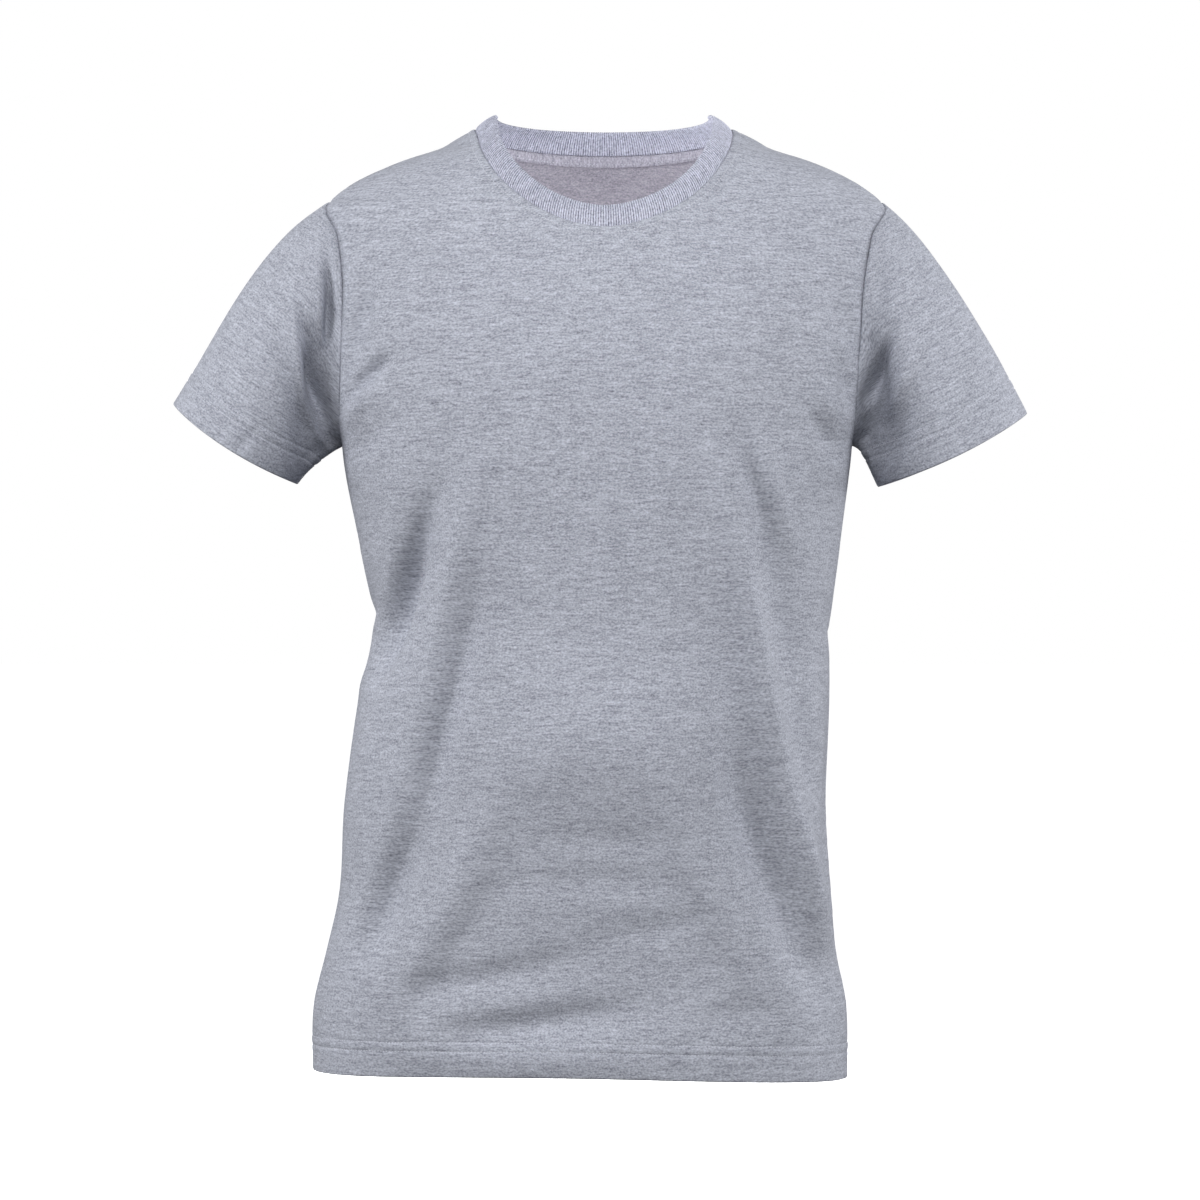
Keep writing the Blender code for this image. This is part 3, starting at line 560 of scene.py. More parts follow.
def crease_rise(crease, view, points, normals):
    """How far a crease lifts each point that faces its view."""
    flat = points[..., [view.axis, 2]].reshape(-1, 2)
    towards = view.sign * normals[..., 1 - view.axis].reshape(-1)
    start, middle, end = (np.array(p) for p in (crease.start, crease.middle, crease.end))
    control = 2 * middle - (start + end) / 2
    left, right = min(start[0], middle[0], end[0]), max(start[0], middle[0], end[0])
    reach = 3 * crease.width * (1 + abs(crease.skew))
    near = (towards > 0) & (flat[:, 0] > left - reach) & (flat[:, 0] < right + reach)
    near &= (flat[:, 1] > end[1] - reach - CREASE_MARGIN) & (flat[:, 1] < start[1] + reach + CREASE_MARGIN)
    rise = np.zeros(len(flat))
    if not near.any():
        return rise.reshape(points.shape[:2])
    at = flat[near]
    t = np.linspace(0, 1, CREASE_STEPS)[:, None]
    path = (1 - t) ** 2 * start + 2 * t * (1 - t) * control + t**2 * end
    run = 2 * (1 - t) * (control - start) + 2 * t * (end - control)
    nearest = np.argmin(((at[:, None] - path[None]) ** 2).sum(axis=2), axis=1)
    offset, tangent = at - path[nearest], run[nearest]
    speed = np.linalg.norm(tangent, axis=1)
    share = np.clip(t[nearest, 0] + (offset * tangent).sum(axis=1) / speed**2, 0, 1)
    aside = (tangent[:, 0] * offset[:, 1] - tangent[:, 1] * offset[:, 0]) / speed
    width = crease.width * (1 + crease.skew * np.tanh(aside / crease.width))
    fullness = np.sin(math.pi * share ** (math.log(0.5) / math.log(crease.peak))) ** 1.5
    edge_on, fading = 0.05, 0.35  # where the cloth turns edge on to the view, creases fade out
    turned = np.clip((towards[near] - edge_on) / fading, 0, 1)
    turned = turned * turned * (3 - 2 * turned)
    rise[near] = crease.height * fullness * ridge(aside, width) * turned
    return rise.reshape(points.shape[:2])


def creases_on(pieces, points, normals, sizes):
    """How far all the creases of those pieces lift each point."""
    found = [
        crease_rise(crease, VIEWS[seen_from], points, normals)
        for (piece, seen_from), creases in CREASES.items()
        for crease in creases
        if piece in pieces
    ]
    return sizes.creasing * sum(found)


def unevenness(points, sizes):
    """Soft slack in the cloth, longer up and down than across: broad swells and smaller ones on them."""
    broad, tall, small, short = 0.050, 0.110, 0.022, 0.060
    rise = [
        noise.noise(Vector((x / broad, y / broad, z / tall + 3)))
        + 0.45 * noise.noise(Vector((x / small + 9, y / small, z / short)))
        for x, y, z in points.reshape(-1, 3)
    ]
    return sizes.slack * np.array(rise).reshape(points.shape[:2])


def calmed(rise, distance, reach, least):
    """The rise, brought down to its least share towards an edge."""
    return rise * (least + (1 - least) * np.clip(distance / reach, 0, 1))


def seam_profile(distance, along, sizes, allowance):
    """Rise of the cloth beside a seam: drawn in at the stitches, lifted by the allowance under it."""
    dip = -sizes.seam_dip * ridge(distance, SEAM_BREADTH)
    lift = allowance * ALLOWANCE_RISE * ridge(distance - ALLOWANCE_MIDDLE, ALLOWANCE_BREADTH)
    short, long = SEAM_RIPPLES
    ripple = np.sin(along * short) * np.sin(along * long + 1.3) * ridge(distance, SEAM_RIPPLE_REACH)
    return dip + lift + sizes.pucker * ripple * (distance > SEAM_LINE)


def hem_fold(up, sizes):
    """How far the rounded fold of a turned-up hem draws the cloth in."""
    radius = sizes.hem_wall / 2
    return radius - np.sqrt(np.clip(radius**2 - np.clip(radius - up, 0, radius) ** 2, 0, None))


def hem_profile(up, along, sizes):
    """Rise of the cloth over a turned-up hem: its fold, two drawn-in rows of stitches and their puckers."""
    rise = -hem_fold(up, sizes)
    for row in (sizes.lower_stitch, sizes.upper_stitch):
        rise = rise - sizes.stitch_dip * ridge(up - row, STITCH_BREADTH)
    middle = (sizes.lower_stitch + sizes.upper_stitch) / 2
    short, long = HEM_RIPPLES
    ripple = np.sin(along * short) * 0.6 + np.sin(along * long + 2.0)
    rise = rise + sizes.pucker * ripple * ridge(up - middle, HEM_RIPPLE_REACH) * np.clip(up / 0.004, 0, 1)
    return rise + HEM_PLY_RISE * (up < sizes.upper_stitch) * np.clip(up / 0.002, 0, 1)


def row_lengths(points):
    """Each point's distance along its row from the row's first point."""
    steps = np.linalg.norm(np.diff(points, axis=1), axis=2)
    return np.concatenate([np.zeros((len(points), 1)), np.cumsum(steps, axis=1)], axis=1)


def climbed(steps):
    """The steps up each column, added up from the first row."""
    return np.concatenate([np.zeros((1, steps.shape[1])), np.cumsum(steps, axis=0)])


def creased_panel(face, sizes, collar):
    """A panel with its creases, seams and hem."""
    form = panel_form(face, sizes, collar)
    along = row_lengths(form.points)
    climb = climbed(np.linalg.norm(np.diff(form.points, axis=0), axis=2))
    from_neck, up = form.neck[:, None], form.up[:, None]
    rise = creases_on((face, "body"), form.points, form.normals, sizes) + unevenness(form.points, sizes)
    rise = calmed(rise, from_neck, 0.015, 0.25)
    rise += seam_profile(form.seam, climb, sizes, 1.0 if face == "back" else 0.2)
    rise += seam_profile(from_neck, along, sizes, 0.6)
    rise -= sizes.stitch_dip * 0.6 * ridge(from_neck - collar.topstitch, 0.0008)
    rise += np.where(up < 0.9, hem_profile(up, along, sizes), 0)
    points = form.points + form.normals * rise[..., None]
    extra = row_lengths(points) - along
    extra -= extra[:, extra.shape[1] // 2][:, None]
    return form._replace(points=points, extra=extra)


def eased(distance):
    """How far the cloth at that distance from a seam goes with it, when the seam is moved to meet."""
    return np.clip(1 - distance / SEAM_EASE, 0, 1) ** 2


def shared_edges(front, back):
    """Both panels moved so that their side and shoulder seams meet exactly."""
    low, high = front.armhole
    moved = {"front": front.points.copy(), "back": back.points.copy()}
    sewn = np.ones(len(front.points))
    sewn[low + 1 : high] = 0
    for column in (0, -1):
        half = (back.points[:, column] - front.points[:, column]) / 2 * sewn[:, None]
        for name, panel, sign in (("front", front, 1), ("back", back, -1)):
            distance = np.linalg.norm(panel.points - panel.points[:, column][:, None], axis=2)
            moved[name] += sign * eased(distance)[..., None] * half[:, None, :]
    return front._replace(points=moved["front"]), back._replace(points=moved["back"])


def body_of_shirt(scene):
    """The finished front and back panels."""
    front, back = (creased_panel(face, scene.shirt_sizes, scene.collar_sizes) for face in ("front", "back"))
    front, back = shared_edges(front, back)
    return {"front": front, "back": back}


def armhole_ring(sleeve, panels):
    """The armhole seam: turns from 0 at the underarm over the front to the tip and back, and its points."""
    edge = -1 if sleeve.side > 0 else 0
    low, high = panels["front"].armhole
    front = panels["front"].points[low:high, edge]
    back = panels["back"].points[high:low:-1, edge]
    count = high - low
    turns = math.pi * np.arange(2 * count) / count
    return turns, np.concatenate([front, back])


def sleeve_form(sleeve, ring, facet):
    """A sleeve's smooth surface as rings from the armhole to the cuff, with distances from both ends."""
    turns, starts = ring
    centre, inwards, axis, half_width = cuff_of(sleeve)
    over = (1 - np.cos(turns)) / 2
    slope = np.radians(sleeve.top_slope * over + sleeve.under_slope * (1 - over))
    leave = np.stack([sleeve.side * np.cos(slope), -SLEEVE_BULGE * np.sin(turns), -np.sin(slope)], axis=1)
    leave = unit(leave)
    ends = centre + inwards * half_width * np.cos(turns)[:, None]
    ends += axis * CUFF_BOW * np.sin(turns)[:, None] ** 2
    ends[:, 1] -= sleeve.half_depth * np.sin(turns)
    length = np.linalg.norm(ends - starts, axis=1)
    first = starts + leave * (sleeve.fullness * length)[:, None]
    last = ends - axis * (CUFF_FULLNESS * length)[:, None]
    seam_end, hem_start = SEAM_ROWS[-1], HEM_ROWS[-1]
    shares = [distance / length for distance in SEAM_ROWS]
    between = spread(0.0, 1.0, facet / SLEEVE_RUN)[:-1]
    shares += [(seam_end + (length - hem_start - seam_end) * s) / length for s in between]
    shares += [1 - distance / length for distance in HEM_ROWS[::-1]]
    rows = []
    for share in shares:
        s = share[:, None]
        pulls = ((1 - s) ** 3, 3 * s * (1 - s) ** 2, 3 * s * s * (1 - s), s**3)
        rows.append(sum(pull * at for pull, at in zip(pulls, (starts, first, last, ends))))
    shares = np.array(shares)
    return np.array(rows), shares * length, (1 - shares) * length


def creased_sleeve(sleeve, scene, panels):
    """A sleeve with its creases, seam and hem: points, and their distance from the cuff's edge."""
    sizes, collar = scene.shirt_sizes, scene.collar_sizes
    smooth = {face: panel_form(face, sizes, collar) for face in ("front", "back")}
    ring = armhole_ring(sleeve, smooth)
    points, from_seam, from_cuff = sleeve_form(sleeve, ring, sizes.facet)
    normals = ring_normals(points)
    along = row_lengths(closed_rows(points))[:, :-1]
    rise = creases_on((sleeve.name,), points, normals, sizes) + unevenness(points, sizes)
    rise = calmed(rise, from_cuff, 0.02, 0.4)
    rise += seam_profile(from_seam, along, sizes, 1.0)
    rise += np.where(from_cuff < 0.05, hem_profile(from_cuff, along, sizes), 0)
    under = np.minimum(along, along[:, -1:] - along)
    rise -= sizes.seam_dip * 0.6 * ridge(under, UNDER_SEAM_BREADTH)
    points = points + normals * rise[..., None]
    sewn = armhole_ring(sleeve, panels)[1] - points[0]
    return points + eased(from_seam)[..., None] * sewn, from_cuff


# ---- meshes --------------------------------------------------------------------------------------


def closed_rows(points):
    """A grid whose rows end at their first point again."""
    return np.concatenate([points, points[:, :1]], axis=1)


def cloth_uv(points):
    """Where each point lies on its cloth: along its row from the middle, and up from the first row."""
    u = row_lengths(points)
    u = u - u[:, u.shape[1] // 2][:, None]
    return np.stack([u, climbed(np.linalg.norm(np.diff(points, axis=0), axis=2))], axis=-1)


def cuff_of(sleeve):
    """(centre, inwards direction, axis out of the cuff, half width) of a sleeve's cuff."""
    outer, inner = (np.array([x, sleeve.middle_y, z]) for x, z in (sleeve.outer, sleeve.inner))
    half_width = np.linalg.norm(inner - outer) / 2
    inwards = (inner - outer) / (2 * half_width)
    return (outer + inner) / 2, inwards, np.array([-inwards[2], 0.0, inwards[0]]) * sleeve.side, half_width


def sleeve_uv(sleeve, points):
    """Where each point lies on the sleeve's cloth, whose courses run with the cuff."""
    centre, inwards, axis, half_width = cuff_of(sleeve)
    away = closed_rows(points) - centre
    turn = np.unwrap(np.arctan2(away[..., 1], away @ inwards), axis=1)
    reach, radius = away @ axis, np.hypot(away[..., 1], away @ inwards)
    climb = climbed(np.hypot(np.diff(reach, axis=0), np.diff(radius, axis=0))[::-1])[::-1]
    return np.stack([turn * (half_width + sleeve.half_depth) / 2, climb], axis=-1)


def body_uv(face, panel):
    """Where each point of a panel lies on its cloth: round the body from the middle, and up the body."""
    points = panel.points
    directions, levels, waist_z = 61, 240, -0.36
    polar = np.linspace(-math.pi / 2, math.pi / 2, directions)
    z = np.linspace(SECTIONS[0].z, 0.0, levels)
    _, half_width, depth, power = (np.asarray(v)[:, None] for v in section(face, z))
    radius = section_radius(polar, half_width, depth, power)
    climb = climbed(np.hypot(np.diff(radius, axis=0), np.diff(z)[:, None]))
    girth = radius[np.searchsorted(z, waist_z)] * (polar[1] - polar[0])
    girth = np.cumsum(girth) - np.cumsum(girth)[len(polar) // 2]
    at = np.arctan2(points[..., 0] - along_body("centre", points[..., 2]), np.abs(points[..., 1]))
    u = np.interp(at, polar, girth) + panel.extra
    i = np.clip(np.searchsorted(z, points[..., 2]) - 1, 0, len(z) - 2)
    j = np.clip(np.searchsorted(polar, at) - 1, 0, len(polar) - 2)
    t = np.clip((points[..., 2] - z[i]) / (z[1] - z[0]), -10, 1)
    s = np.clip((at - polar[j]) / (polar[1] - polar[0]), 0, 1)
    low = climb[i, j] * (1 - s) + climb[i, j + 1] * s
    high = climb[i + 1, j] * (1 - s) + climb[i + 1, j + 1] * s
    return np.stack([u, low + (high - low) * t], axis=-1)


def shell(name, outer, normals, wall, uv, ring, materials):
    """A closed wall of cloth: the outer grid, the inner grid, and rims between them."""
    rows, columns = outer.shape[:2]
    inner = outer - normals * np.broadcast_to(wall, outer.shape[:2])[..., None]
    count = rows * columns
    i, j = np.meshgrid(np.arange(rows - 1), np.arange(columns if ring else columns - 1), indexing="ij")
    i, j = i.ravel(), j.ravel()
    k = (j + 1) % columns
    quads = np.stack([i * columns + j, i * columns + k,
                      (i + 1) * columns + k, (i + 1) * columns + j], axis=1)
    uv_columns = uv.shape[1]
    marks = np.stack([i * uv_columns + j, i * uv_columns + j + 1,
                      (i + 1) * uv_columns + j + 1, (i + 1) * uv_columns + j], axis=1)
    sample = quads[len(quads) // 2 + (0 if ring else columns // 2)]
    a, b, c = outer.reshape(-1, 3)[sample[:3]]
    if np.cross(b - a, c - a) @ normals.reshape(-1, 3)[sample[0]] < 0:
        quads, marks = quads[:, ::-1], marks[:, ::-1]
    edges, edge_marks = rim_edges(quads, marks)
    rim = np.stack([edges[:, 1], edges[:, 0], edges[:, 0] + count, edges[:, 1] + count], axis=1)
    faces = np.concatenate([quads, quads[:, ::-1] + count, rim])
    marks = np.concatenate([marks, marks[:, ::-1], edge_marks[:, [1, 0, 0, 1]]])
    slots = np.repeat([0, 1, 0], [len(quads), len(quads), len(edges)])
    mesh = bpy.data.meshes.new(name)
    vertices = np.concatenate([outer.reshape(-1, 3), inner.reshape(-1, 3)])
    mesh.vertices.add(len(vertices))
    mesh.vertices.foreach_set("co", vertices.ravel())
    mesh.loops.add(faces.size)
    mesh.loops.foreach_set("vertex_index", faces.ravel().astype(np.int32))
    mesh.polygons.add(len(faces))
    mesh.polygons.foreach_set("loop_start", np.arange(0, faces.size, 4, dtype=np.int32))
    mesh.polygons.foreach_set("material_index", slots.astype(np.int32))
    mesh.update(calc_edges=True)
    mesh.validate()
    layer = mesh.uv_layers.new(name="cloth")
    layer.uv.foreach_set("vector", uv.reshape(-1, 2)[marks.ravel()].astype(np.float32).ravel())
    mesh.shade_smooth()
    for material in materials:
        mesh.materials.append(material)
    piece = bpy.data.objects.new(name, mesh)
    bpy.context.scene.collection.objects.link(piece)
    return piece


def rim_edges(quads, marks):
    """The open edges of a grid's faces, and their marks on the cloth."""
    pairs = np.concatenate([quads[:, [n, (n + 1) % 4]] for n in range(4)])
    mark_pairs = np.concatenate([marks[:, [n, (n + 1) % 4]] for n in range(4)])
    size = pairs.max() + 1
    keys, back = pairs[:, 0] * size + pairs[:, 1], pairs[:, 1] * size + pairs[:, 0]
    alone = ~np.isin(keys, back)
    return pairs[alone], mark_pairs[alone]


def finish_piece(piece, node):
    """Gives the piece its body and hides the solid it stands for."""
    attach(piece, "root")
    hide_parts(node)


# ---- materials -----------------------------------------------------------------------------------


def add_node(tree, kind, settings=None, **links):
    """A node of that kind with its settings. links give a value or another node's output for inputs, by
    name with _ for a space, or by number after _."""
    node = tree.nodes.new(kind)
    for name, value in (settings or {}).items():
        setattr(node, name, value)
    for name, value in links.items():
        key = int(name[1:]) if name[0] == "_" and name[1:].isdigit() else name.replace("_", " ")
        if isinstance(value, bpy.types.NodeSocket):
            tree.links.new(value, node.inputs[key])
        else:
            node.inputs[key].default_value = value
    return node


def opaque(colour):
    return (*colour, 1.0)


def blank_material(name, **settings):
    """A new material whose shader has those settings: (material, its nodes, its shader)."""
    material = bpy.data.materials.new(name)
    material.use_nodes = True
    shader = material.node_tree.nodes["Principled BSDF"]
    for label, value in settings.items():
        shader.inputs[label.replace("_", " ")].default_value = value
    return material, material.node_tree, shader


def heather_cloth(name, colour, contrast, streak, roughness, bump, sheen, rib_pitch=0.0):
    """Cotton and polyester melange yarn: dark and pale fibres twisted together, so the knit shows as a fine
    bluish grain with short flat streaks along its courses, and a soft dry nap with almost no gloss. Where
    there is a rib_pitch, painted shade makes the cloth paler on the ribs and darker in the channels between
    them, partly for the shade that falls in the channels and partly for the darker purl loops there."""
    material, tree, shader = blank_material(
        name, Roughness=roughness, Specular_IOR_Level=0.18, Sheen_Weight=sheen, Sheen_Roughness=0.55,
        Sheen_Tint=opaque(linear("#e6e8f0")))
    place = add_node(tree, "ShaderNodeUVMap", {"uv_map": "cloth"}).outputs["UV"]

    # (length mm, height mm, weight, seed) of the yarn's grain, its streaks and its uneven spinning
    grain, spinning = (1.7, 1.3, 1.10, 4.1), (48.0, 26.0, 0.08, 2.9)
    short_streaks, long_streaks = (streak, 1.5, 0.65, 8.3), (3 * streak, 2.6, 0.32, 1.7)
    marks = (grain, short_streaks, long_streaks, spinning)
    # the mean of a noise is 0.5, so from this start the share of pale fibre stays about one half
    share = 0.5 - 0.5 * sum(weight for _, _, weight, _ in marks)
    for length, height, weight, seed in marks:
        scaled = add_node(tree, "ShaderNodeVectorMath", {"operation": "MULTIPLY_ADD"}, _0=place,
                          _1=(1000 / length, 1000 / height, 1.0), _2=(0.0, 0.0, seed))
        field = add_node(tree, "ShaderNodeTexNoise", Vector=scaled.outputs[0], Scale=1.0, Detail=1.0,
                         Roughness=0.6)
        share = add_node(tree, "ShaderNodeMath", {"operation": "MULTIPLY_ADD"}, _0=field.outputs["Fac"],
                         _1=weight, _2=share).outputs[0]
    # painted shade: paler on the ribs and darker in the channels between them, partly standing in for shade
    # and partly for the purl loops' own darker tone
    if rib_pitch:
        across = add_node(tree, "ShaderNodeSeparateXYZ", Vector=place).outputs["Y"]
        turn = add_node(tree, "ShaderNodeMath", {"operation": "MULTIPLY"}, _0=across,
                        _1=2 * math.pi / rib_pitch).outputs[0]
        painted_rib_shade = add_node(tree, "ShaderNodeMath", {"operation": "COSINE"}, _0=turn).outputs[0]
        share = add_node(tree, "ShaderNodeMath", {"operation": "MULTIPLY_ADD"}, _0=painted_rib_shade, _1=0.30,
                         _2=share).outputs[0]
    bluish, warm = (0.97, 0.98, 1.05), (1.01, 1.01, 0.98)
    dark = [c * (1 - contrast) * tint for c, tint in zip(colour, bluish)]
    pale = [min(1.0, c * (1 + contrast) * tint) for c, tint in zip(colour, warm)]
    blend = add_node(tree, "ShaderNodeMix", {"data_type": "RGBA", "clamp_factor": True}, _0=share,
                     _6=opaque(dark), _7=opaque(pale))
    tree.links.new(blend.outputs[2], shader.inputs["Base Color"])
    relief = add_node(tree, "ShaderNodeBump", Strength=bump, Distance=0.0005, Height=share)
    tree.links.new(relief.outputs[0], shader.inputs["Normal"])
    return material


def named_material(name, make):
    """The material of that name, made when it is first asked for."""
    return bpy.data.materials.get(name) or make(name)


def jersey(scene):
    """Single jersey, right side."""
    c = scene.shirt_colours
    return named_material("heather jersey", lambda name: heather_cloth(
        name, c.jersey, c.contrast, 6.5, 0.93, 0.30, 0.20))


def jersey_reverse(scene):
    """Single jersey, wrong side: duller and a little warmer."""
    c = scene.shirt_colours
    return named_material("heather jersey reverse", lambda name: heather_cloth(
        name, c.jersey_reverse, c.contrast * 0.8, 4.5, 0.95, 0.30, 0.15))


def rib_knit(scene):
    """1x1 rib in the same yarn: the ribs are in the mesh, and painted shade darkens their channels, partly
    for the shade that falls there and partly for the purl loops' darker tone.
    """
    c = scene.shirt_colours
    return named_material("heather rib", lambda name: heather_cloth(
        name, c.rib, c.contrast, 3.5, 0.93, 0.25, 0.15, scene.collar_sizes.rib_pitch))


def tape_cloth(scene):
    """Self-fabric tape, cut along the knit."""
    c = scene.shirt_colours
    return named_material("neck tape jersey", lambda name: heather_cloth(
        name, c.tape, c.contrast * 0.9, 4.5, 0.93, 0.25, 0.15))


def thread_material(scene):
    """Spun polyester sewing thread: matt, with the faint gloss of its twist."""
    def make(name):
        material, tree, shader = blank_material(name, Roughness=0.6, Specular_IOR_Level=0.35)
        place = add_node(tree, "ShaderNodeTexCoord").outputs["Object"]
        fibres = add_node(tree, "ShaderNodeTexNoise", Vector=place, Scale=900.0, Detail=1.0).outputs["Fac"]
        base = scene.shirt_colours.thread
        shaded, shining = [v * 0.82 for v in base], [min(1.0, v * 1.12) for v in base]
        tone = add_node(tree, "ShaderNodeMix", {"data_type": "RGBA"}, _0=fibres, _6=opaque(shaded),
                        _7=opaque(shining))
        tree.links.new(tone.outputs[2], shader.inputs["Base Color"])
        return material
    return named_material("polyester thread", make)


# ---- Geometry Nodes ------------------------------------------------------------------------------


def new_tree(name, inputs):
    """A geometry node tree with a Geometry input and output, and the named inputs of the given kinds."""
    tree = bpy.data.node_groups.new(name, "GeometryNodeTree")
    tree.interface.new_socket("Geometry", in_out="INPUT", socket_type="NodeSocketGeometry")
    for label, kind in inputs.items():
        tree.interface.new_socket(label, in_out="INPUT", socket_type=kind)
    tree.interface.new_socket("Geometry", in_out="OUTPUT", socket_type="NodeSocketGeometry")
    return tree, add_node(tree, "NodeGroupInput").outputs, add_node(tree, "NodeGroupOutput")


def stitch_tree():
    """Threads laid end to end along the mesh's edges, upright to the cloth by its outward direction."""
    tree, given, out = new_tree("rows_of_stitches", {
        "Pitch": "NodeSocketFloat", "Length": "NodeSocketFloat", "Thread": "NodeSocketFloat",
        "Seed": "NodeSocketInt", "Material": "NodeSocketMaterial"})
    curve = add_node(tree, "GeometryNodeMeshToCurve", Mesh=given["Geometry"])
    points = add_node(tree, "GeometryNodeResampleCurve", {"mode": "LENGTH"}, Curve=curve.outputs[0],
                      Length=given["Pitch"])
    size = add_node(tree, "ShaderNodeCombineXYZ", X=given["Length"], Y=given["Thread"], Z=given["Thread"])
    bead = add_node(tree, "GeometryNodeMeshUVSphere", Segments=6, Rings=4, Radius=0.5)
    thread = add_node(tree, "GeometryNodeTransform", Geometry=bead.outputs["Mesh"], Scale=size.outputs[0])
    outward = add_node(tree, "GeometryNodeInputNamedAttribute", {"data_type": "FLOAT_VECTOR"},
                       Name="outward")
    along = add_node(tree, "GeometryNodeInputTangent")
    lie = add_node(tree, "FunctionNodeAlignRotationToVector", {"axis": "X"}, Vector=along.outputs[0])
    stand = add_node(tree, "FunctionNodeAlignRotationToVector", {"axis": "Z", "pivot_axis": "X"},
                     Rotation=lie.outputs[0], Vector=outward.outputs[0])
    differ = add_node(tree, "FunctionNodeRandomValue", {"data_type": "FLOAT"}, _2=0.86, _3=1.06,
                      Seed=given["Seed"])
    laid = add_node(tree, "GeometryNodeInstanceOnPoints", Points=points.outputs[0],
                    Instance=thread.outputs[0], Rotation=stand.outputs[0], Scale=differ.outputs[1])
    real = add_node(tree, "GeometryNodeRealizeInstances", Geometry=laid.outputs[0])
    smooth = add_node(tree, "GeometryNodeSetShadeSmooth", Geometry=real.outputs[0])
    sewn = add_node(tree, "GeometryNodeSetMaterial", Geometry=smooth.outputs[0], Material=given["Material"])
    tree.links.new(sewn.outputs[0], out.inputs[0])
    return tree


def rib_tree():
    """Channels sunk across a band, at each whole pitch of its stored distance round."""
    tree, given, out = new_tree("rib_channels", {
        "Pitch": "NodeSocketFloat", "Depth": "NodeSocketFloat", "Material": "NodeSocketMaterial"})
    round_band, fullness = (
        add_node(tree, "GeometryNodeInputNamedAttribute", {"data_type": "FLOAT"}, Name=label).outputs[0]
        for label in ("round", "fullness"))
    value = round_band
    for operation, operand in (("DIVIDE", given["Pitch"]), ("MULTIPLY", math.pi), ("COSINE", None),
                               ("ABSOLUTE", None), ("POWER", 0.7), ("SUBTRACT", 1.0),
                               ("MULTIPLY", given["Depth"]), ("MULTIPLY", fullness)):
        links = {"_0": value} if operand is None else {"_0": value, "_1": operand}
        value = add_node(tree, "ShaderNodeMath", {"operation": operation}, **links).outputs[0]
    normal = add_node(tree, "GeometryNodeInputNormal")
    offset = add_node(tree, "ShaderNodeVectorMath", {"operation": "SCALE"}, _0=normal.outputs[0],
                      Scale=value)
    moved = add_node(tree, "GeometryNodeSetPosition", Geometry=given["Geometry"], Offset=offset.outputs[0])
    real = add_node(tree, "GeometryNodeRealizeInstances", Geometry=moved.outputs[0])
    dyed = add_node(tree, "GeometryNodeSetMaterial", Geometry=real.outputs[0], Material=given["Material"])
    tree.links.new(dyed.outputs[0], out.inputs[0])
    return tree


def apply_tree(piece, tree, values):
    """Runs a tree on a piece and keeps the result as its plain mesh."""
    modifier = piece.modifiers.new(tree.name, "NODES")
    modifier.node_group = tree
    for item in tree.interface.items_tree:
        if item.in_out == "INPUT" and item.name in values:
            modifier[item.identifier] = values[item.name]
    evaluated = piece.evaluated_get(bpy.context.evaluated_depsgraph_get())
    mesh = bpy.data.meshes.new_from_object(evaluated)
    piece.modifiers.remove(modifier)
    piece.data = mesh
    mesh.name = piece.name
    return piece


def stitch_rows(name, rows, scene):
    """One object of stitches along rows, each (points, outward directions, closed)."""
    vertices, outward, edges = [], [], []
    for points, directions, closed in rows:
        first = len(vertices)
        vertices += [tuple(p) for p in points]
        outward += [tuple(d) for d in directions]
        edges += [(first + k, first + k + 1) for k in range(len(points) - 1)]
        if closed:
            edges.append((first + len(points) - 1, first))
    mesh = bpy.data.meshes.new(name)
    mesh.from_pydata(vertices, edges, [])
    layer = mesh.attributes.new("outward", "FLOAT_VECTOR", "POINT")
    layer.data.foreach_set("vector", np.array(outward, np.float32).ravel())
    piece = bpy.data.objects.new(name, mesh)
    scene.collection.objects.link(piece)
    sizes = scene.stitch_sizes
    tree = bpy.data.node_groups.get("rows_of_stitches") or stitch_tree()
    apply_tree(piece, tree, {"Pitch": sizes.pitch, "Length": sizes.length, "Thread": sizes.thread,
                             "Seed": sizes.seed, "Material": thread_material(scene)})
    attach(piece, "root")
    return piece


# ---- operators -----------------------------------------------------------------------------------


def hem_walls(up, sizes):
    """Wall thickness by height: two plies over the hem, with a rounded edge at its fold."""
    step = 0.0006
    inside = np.clip((up - sizes.hem_height) / step, 0, 1)
    wall = sizes.hem_wall + (sizes.wall - sizes.hem_wall) * inside
    return np.maximum(wall - 2 * hem_fold(up, sizes), THINNEST)


class ShirtBodyOperator(bpy.types.Operator):
    """Builds the front and back panels"""

    bl_idname = "tshirt.body"
    bl_label = "Front and back"

    def execute(self, context):
        scene = context.scene
        sizes = scene.shirt_sizes
        for face, panel in body_of_shirt(scene).items():
            walls = hem_walls(panel.up[:, None] + 0 * panel.seam, sizes)
            piece = shell(f"{face}_jersey", panel.points, panel_normals(panel.points), walls,
                          body_uv(face, panel), False, [jersey(scene), jersey_reverse(scene)])
            finish_piece(piece, face)
        return {"FINISHED"}


class ShirtSleevesOperator(bpy.types.Operator):
    """Builds the two set-in sleeves"""

    bl_idname = "tshirt.sleeves"
    bl_label = "Sleeves"

    def execute(self, context):
        scene = context.scene
        panels = body_of_shirt(scene)
        for sleeve in SLEEVES:
            points, from_cuff = creased_sleeve(sleeve, scene, panels)
            walls = hem_walls(from_cuff, scene.shirt_sizes)
            piece = shell(f"{sleeve.name}_jersey", points, ring_normals(points), walls,
                          sleeve_uv(sleeve, points), True, [jersey(scene), jersey_reverse(scene)])
            finish_piece(piece, sleeve.name)
        return {"FINISHED"}


def neck_seam(panels):
    """The neck seam round from the front's right end, over the front and back."""
    return np.concatenate([panels["front"].points[-1][:-1], panels["back"].points[-1][:0:-1]])


def resampled_ring(ring, count):
    """A closed line of points at that many equal steps."""
    closed = np.concatenate([ring, ring[:1]])
    reach = np.concatenate([[0], np.cumsum(np.linalg.norm(np.diff(closed, axis=0), axis=1))])
    at = reach[-1] * np.arange(count) / count
    return np.stack([np.interp(at, reach, closed[:, k]) for k in range(3)], axis=1), reach[-1]


